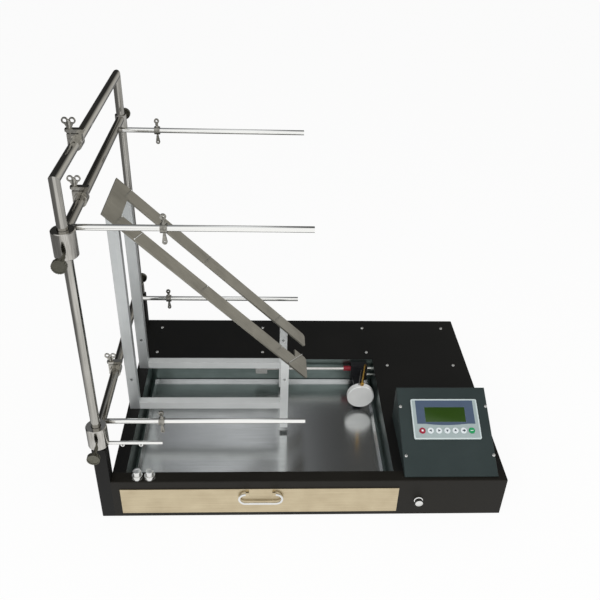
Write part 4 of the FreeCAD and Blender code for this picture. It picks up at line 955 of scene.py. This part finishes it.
class Console(Assembly):
    """The sloped console: its display, film, keys and four screws."""

    WEARS = {"console": ("console_case",), "panel": ("display_unit",), "red_key": ("stop_key",),
             "white_key": ("left_key", "right_key", "down_key", "up_key", "enter_key"),
             "green_key": ("start_key",)}
    # Where the screws stand in millimetres, right along the face and up it.
    SCREWS = ((5.8, 173.5), (7.6, 49.2), (215.4, 174.0), (215.8, 50.0))

    def __init__(self, palette: Palette, sizes: ConsoleSizes) -> None:
        """Keep the sizes and find the face's own frame.

        Args:
            palette: The tester's materials.
            sizes: The console's sizes.
        """
        super().__init__(palette)
        self.sizes = sizes
        low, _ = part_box("console_case")
        corner = Vector((low.x, low.y, low.z + sizes.lip))
        self.face = Matrix.Translation(corner) @ Matrix.Rotation(sizes.slope, 4, "X")

    def build(self) -> None:
        """Dress the nodes and add the pieces."""
        super().build()
        self.add_rim()
        self.add_film()
        self.add_window()
        for step, mark in enumerate(KeyMark, start=-3):
            self.add_mark(mark.value, step)
        for step, (across, up) in enumerate(self.SCREWS, start=1):
            head = PanHead(8 * MM, 2.2 * MM).model(f"console_screw_{step}")
            place = self.face @ Matrix.Translation((across * MM, up * MM, 0))
            settle(head, place, self.palette["screw"], "base")

    def add_rim(self) -> None:
        """A raised rim round the display, paler than the panel as a painted highlight, a plate with its
        middle taken out.
        """
        size = self.sizes
        low = Vector((size.display_left, size.display_front, size.display_rise))
        high = low + Vector((size.display_length, size.display_width, size.rim_rise))
        piece = slab("display_rim", low, high, size.display_corner, size.rim_edge)
        half = size.display_length * size.display_width / 2
        with editing(piece):
            for way in (1, -1):
                pick(piece, lambda face, way=way: face.normal.z * way > ALONG and face.calc_area() > half)
                bpy.ops.mesh.inset(thickness=size.rim)
                bpy.ops.mesh.delete(type="FACE")
            bpy.ops.mesh.select_mode(type="EDGE")
            pick(piece, lambda edge: edge.is_boundary, "edges")
            bpy.ops.mesh.bridge_edge_loops()
            face_out()
        # The rim's paler plastic is a painted highlight.
        settle(piece, self.face, self.palette["painted_highlight_rim"], "base")

    def add_film(self) -> None:
        """The printed film round the window, whose lower edge bows down a little as a painted curved shadow
        in the film's dark colour.
        """
        size = self.sizes
        columns, rows = 12, 3
        clear_selection()
        bpy.ops.mesh.primitive_grid_add(x_subdivisions=columns, y_subdivisions=rows, size=1)
        piece = begin("display_film")
        window_right = size.window_left + size.window_length
        inner = columns - 2
        across = ([size.film_left]
                  + [size.window_left + step * size.window_length / inner for step in range(inner + 1)]
                  + [size.film_right])
        up = [size.film_low, size.window_low, size.window_low + size.window_width, size.film_high]
        middle = (size.window_left + window_right) / 2
        with editing(piece):
            mesh = bmesh.from_edit_mesh(piece.data)
            for vert in mesh.verts:
                column = round((vert.co.x + 0.5) * columns)
                row = round((vert.co.y + 0.5) * rows)
                vert.co.x, vert.co.y = across[column], up[row]
                share = min(abs(vert.co.x - middle) / (size.window_length / 2), 1.0)
                # The lower edge bows down in the middle, a painted curved shadow.
                if row == 0:
                    vert.co.y -= size.film_painted_shadow_bow * (1 - share * share)
            bmesh.update_edit_mesh(piece.data)

            def over_window(face: bmesh.types.BMFace) -> bool:
                """Whether a face lies over the window.

                Args:
                    face: A face of the film.

                Returns:
                    True where the film is open.
                """
                centre = face.calc_center_median()
                return size.window_left < centre.x < window_right and up[1] < centre.y < up[2]
            pick(piece, over_window)
            bpy.ops.mesh.delete(type="FACE")
            bpy.ops.mesh.select_all(action="SELECT")
            bpy.ops.mesh.extrude_region_move(TRANSFORM_OT_translate={"value": (0, 0, size.film_rise)})
            face_out()
        soften(piece, size.film_edge, 1)
        start = Matrix.Translation((0, 0, size.display_rise + size.film_gap))
        settle(piece, self.face @ start, self.palette["film"], "base")

    def add_window(self) -> None:
        """The window of the display, just below the film."""
        size = self.sizes
        low = Vector((size.window_left, size.window_low, size.display_rise - size.window_depth))
        high = low + Vector((size.window_length, size.window_width, size.window_depth + size.window_proud))
        gap = Vector((size.window_gap, size.window_gap, 0))
        piece = slab("display_window", low + gap, high - gap, size.window_corner, size.window_gap)
        settle(piece, self.face, self.palette["window"], "base")

    def add_mark(self, sign: Sign, step: int) -> None:
        """A key's plain sign, a thin raised print.

        Args:
            sign: What the sign looks like.
            step: The key's place in the row, counted from the middle one.
        """
        size = self.sizes
        clear_selection()
        bpy.ops.mesh.primitive_cylinder_add(vertices=sign.sides, radius=size.mark, depth=size.mark_height)
        piece = begin(f"{sign.key}_mark")
        with editing(piece, "VERT"):
            bpy.ops.mesh.select_all(action="SELECT")
            mesh = bmesh.from_edit_mesh(piece.data)
            turn = Matrix.Rotation(sign.turn, 3, "Z")
            bmesh.ops.rotate(mesh, verts=mesh.verts, cent=(0, 0, 0), matrix=turn)
            bmesh.update_edit_mesh(piece.data)
            if sign.stretch:
                bpy.ops.transform.resize(value=(*sign.stretch, 1.0))
        if sign.tail:
            with editing(piece):
                pick(piece, lambda face: face.normal.x > ALONG)
                bpy.ops.mesh.extrude_region_move(TRANSFORM_OT_translate={"value": (sign.tail, 0, 0)})
                bpy.ops.transform.resize(value=(1.0, size.tail_share, 1.0))
        soften(piece, size.mark_edge, 1)
        middle = size.display_left + size.display_length / 2
        place = (middle + step * size.key_pitch, size.key_line, size.key_top + size.mark_edge)
        settle(piece, self.face @ Matrix.Translation(place), self.palette[sign.finish], sign.key)


# Studio

@dataclass(frozen=True)
class Viewpoint:
    """Where the photograph was taken from, fitted to the tester's real sizes."""

    place: tuple[float, float, float] = (-0.08757, -1.46136, 1.37521)
    yaw: float = math.radians(3.222)
    pitch: float = math.radians(33.622)
    roll: float = math.radians(-2.128)
    lens_mm: float = 43.425
    sensor_mm: float = 36.0
    nearest: float = 0.05
    farthest: float = 50.0

    def build(self) -> None:
        """Make the camera and choose it for the scene."""
        forward = Vector((math.sin(self.yaw) * math.cos(self.pitch),
                          math.cos(self.yaw) * math.cos(self.pitch), -math.sin(self.pitch)))
        right = Vector((math.cos(self.yaw), -math.sin(self.yaw), 0))
        down = forward.cross(right)
        across = math.cos(self.roll) * right + math.sin(self.roll) * down
        below = math.cos(self.roll) * down - math.sin(self.roll) * right
        camera = bpy.data.cameras.new("photo_camera")
        camera.lens, camera.sensor_width = self.lens_mm, self.sensor_mm
        camera.clip_start, camera.clip_end = self.nearest, self.farthest
        holder = bpy.data.objects.new("photo_camera", camera)
        bpy.context.scene.collection.objects.link(holder)
        turn = Matrix((across, -below, -forward)).transposed().to_4x4()
        holder.matrix_world = Matrix.Translation(self.place) @ turn
        bpy.context.scene.camera = holder


@dataclass(frozen=True)
class Softbox:
    """A large soft lamp that looks at the middle of the tester."""

    name: str
    place: tuple[float, float, float]
    side: float
    power: float

    def build(self, target: Vector) -> None:
        """Make the lamp.

        Args:
            target: The point that it looks at.
        """
        lamp = bpy.data.lights.new(self.name, "AREA")
        lamp.shape, lamp.size, lamp.energy = "SQUARE", self.side, self.power
        holder = bpy.data.objects.new(self.name, lamp)
        bpy.context.scene.collection.objects.link(holder)
        # Thin rods would mirror the lamp as hard dots, so it lights but isn't mirrored.
        holder.visible_glossy = False
        way = target - Vector(self.place)
        turn = way.to_track_quat("-Z", "Y").to_matrix().to_4x4()
        holder.matrix_world = Matrix.Translation(self.place) @ turn


# A part of the direction that is looked in, and where a patch is none and where it is whole along it.
Span = tuple[str, float, float]


@dataclass(frozen=True)
class Zone:
    """A patch of the mirrored surroundings, which comes in along two directions."""

    colour: str
    first: Span
    second: Span

    def over(self, tree: NodeTree, way: bpy.types.NodeOutputs, below: object,
             own: object = None) -> NodeSocket:
        """Lay the patch over what is behind it.

        Args:
            tree: The world's tree.
            way: The parts of the direction that is looked in.
            below: The colour behind the patch.
            own: What fills the patch, where that isn't its plain colour.

        Returns:
            The colour that comes out.
        """
        add = partial(add_node, tree)
        first, second = (add("MapRange", inputs={"Value": way[axis], "From Min": none, "From Max": whole})
                         for axis, none, whole in (self.first, self.second))
        share = add("Math", PRODUCT, {0: first, 1: second})
        return add("Mix", COLOURS, {
            "Factor": share, LOW: below, HIGH: own or linear(self.colour)}).outputs[MIXED]


@dataclass(frozen=True)
class Studio:
    """The plain pale floor, the white surroundings and the soft lamps.

    In mirrors the floor is bright in a patch in front, dim behind and lighter far to the right. The
    surroundings are white in front of the tester and dark behind it, with three lighter zones there.
    The spans say where each is none and where it is whole, in metres on the floor.
    """

    floor_side: float = 14.0
    floor_drop: float = 0.0005
    ahead: tuple[float, float] = (-0.08, -0.34)
    aside: tuple[float, float] = (1.3, 0.6)
    far_right: tuple[float, float] = (0.4, 1.0)
    in_front: tuple[float, float] = (0.0, -0.4)
    sky_level: float = 0.50
    dim: float = 0.17
    dim_right: float = 0.65
    glow_share: float = 0.93
    pale: str = "#f2f2ef"
    behind: str = "#3a3a39"
    right: Zone = Zone("#e2e0da", ("X", 0.1, 0.4), ("Z", 0.9, 0.2))
    high: Zone = Zone("#85878a", ("Z", 0.5, 0.68), ("X", 0.08, -0.02))
    streak: Zone = Zone("#e6e8ea", ("X", -0.13, -0.05), ("X", 0.05, 0.0))
    lamps: tuple[Softbox, ...] = (Softbox("key_lamp", (-0.9, -2.7, 2.1), 2.2, 62.0),
                                  Softbox("fill_lamp", (2.2, -1.4, 1.6), 1.6, 20.0))

    def build(self) -> None:
        """Make the floor, the world and the lamps."""
        bpy.context.scene.view_settings.view_transform = "Standard"
        self.add_floor()
        self.add_world()
        low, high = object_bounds()
        for lamp in self.lamps:
            lamp.build((low + high) / 2)

    def add_floor(self) -> None:
        """A pale floor that shows as white and keeps the tester's soft shadow."""
        clear_selection()
        bpy.ops.mesh.primitive_plane_add(size=self.floor_side, location=(0, 0, -self.floor_drop))
        floor = begin("studio_floor")
        material = bpy.data.materials.new("pale_studio_floor")
        material.use_nodes = True
        tree = material.node_tree
        tree.nodes.clear()
        add = partial(add_node, tree)
        path = add("LightPath").outputs
        place = add("TexCoord").outputs["Object"]
        parts = add("SeparateXYZ", inputs={0: place}).outputs
        distance = add("Math", {"operation": "ABSOLUTE"}, {0: parts["X"]})
        ahead = add("MapRange", inputs={
            "Value": parts["Y"], "From Min": self.ahead[0], "From Max": self.ahead[1]})
        aside = add("MapRange", inputs={
            "Value": distance, "From Min": self.aside[0], "From Max": self.aside[1]})
        patch = add("Math", PRODUCT, {0: ahead, 1: aside})
        far_right = add("MapRange", inputs={
            "Value": parts["X"], "From Min": self.far_right[0], "From Max": self.far_right[1],
            "To Min": self.dim, "To Max": self.dim_right})
        mirrored = add("Math", LARGER, {0: patch, 1: far_right})
        strength = add("Math", LARGER, {0: path["Is Camera Ray"], 1: mirrored})
        seen = add("Math", LARGER, {0: path["Is Camera Ray"], 1: path["Is Glossy Ray"]})
        seen = add("Math", LARGER, {0: seen, 1: path["Is Transmission Ray"]})
        share = add("Math", PRODUCT, {0: seen, 1: self.glow_share})
        matt = add("BsdfDiffuse", inputs={"Color": linear(self.pale)})
        glow = add("Emission", inputs={"Color": WHITE, "Strength": strength})
        mixed = add("MixShader", inputs={0: share, 1: matt, 2: glow})
        add("OutputMaterial", inputs={"Surface": mixed})
        floor.data.materials.append(material)
        floor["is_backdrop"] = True

    def add_world(self) -> None:
        """White on the camera's side and dark behind, as bright metal mirrors a studio."""
        world = bpy.data.worlds.new("studio_world")
        bpy.context.scene.world = world
        world.use_nodes = True
        tree = world.node_tree
        tree.nodes.clear()
        add = partial(add_node, tree)
        path = add("LightPath").outputs
        place = add("TexCoord").outputs["Generated"]
        way = add("SeparateXYZ", inputs={0: place}).outputs
        behind = self.right.over(tree, way, linear(self.behind))
        behind = self.high.over(tree, way, behind, self.streak.over(tree, way, linear(self.high.colour)))
        front = add("MapRange", inputs={
            "Value": way["Y"], "From Min": self.in_front[0], "From Max": self.in_front[1]})
        mirrored = add("Mix", COLOURS, {
            "Factor": front, LOW: behind, HIGH: WHITE}).outputs[MIXED]
        seen = add("Math", LARGER, {0: path["Is Glossy Ray"], 1: path["Is Transmission Ray"]})
        shown = add("Background", inputs={"Color": mirrored, "Strength": 1.0})
        lit = add("Background", inputs={"Color": WHITE, "Strength": self.sky_level})
        plain = add("Background", inputs={"Color": WHITE, "Strength": 1.0})
        mixed = add("MixShader", inputs={0: seen, 1: lit, 2: shown})
        whole = add("MixShader", inputs={0: path["Is Camera Ray"], 1: mixed, 2: plain})
        add("OutputWorld", inputs={"Surface": whole})


def main() -> None:
    """Build the tester's looks in order."""
    logging.basicConfig(level=logging.INFO, format="%(name)s %(message)s")
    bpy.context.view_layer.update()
    palette = {key: finish.build() for key, finish in FINISHES.items()}
    Viewpoint().build()
    for group in (Cabinet(palette), PostFrame(palette), Stand(palette), Drawer(palette), Burner(palette),
                  Services(palette), Console(palette, ConsoleSizes())):
        group.build()
        log.info("%s is done", type(group).__name__)
    Studio().build()


if __name__ == "__main__":
    main()
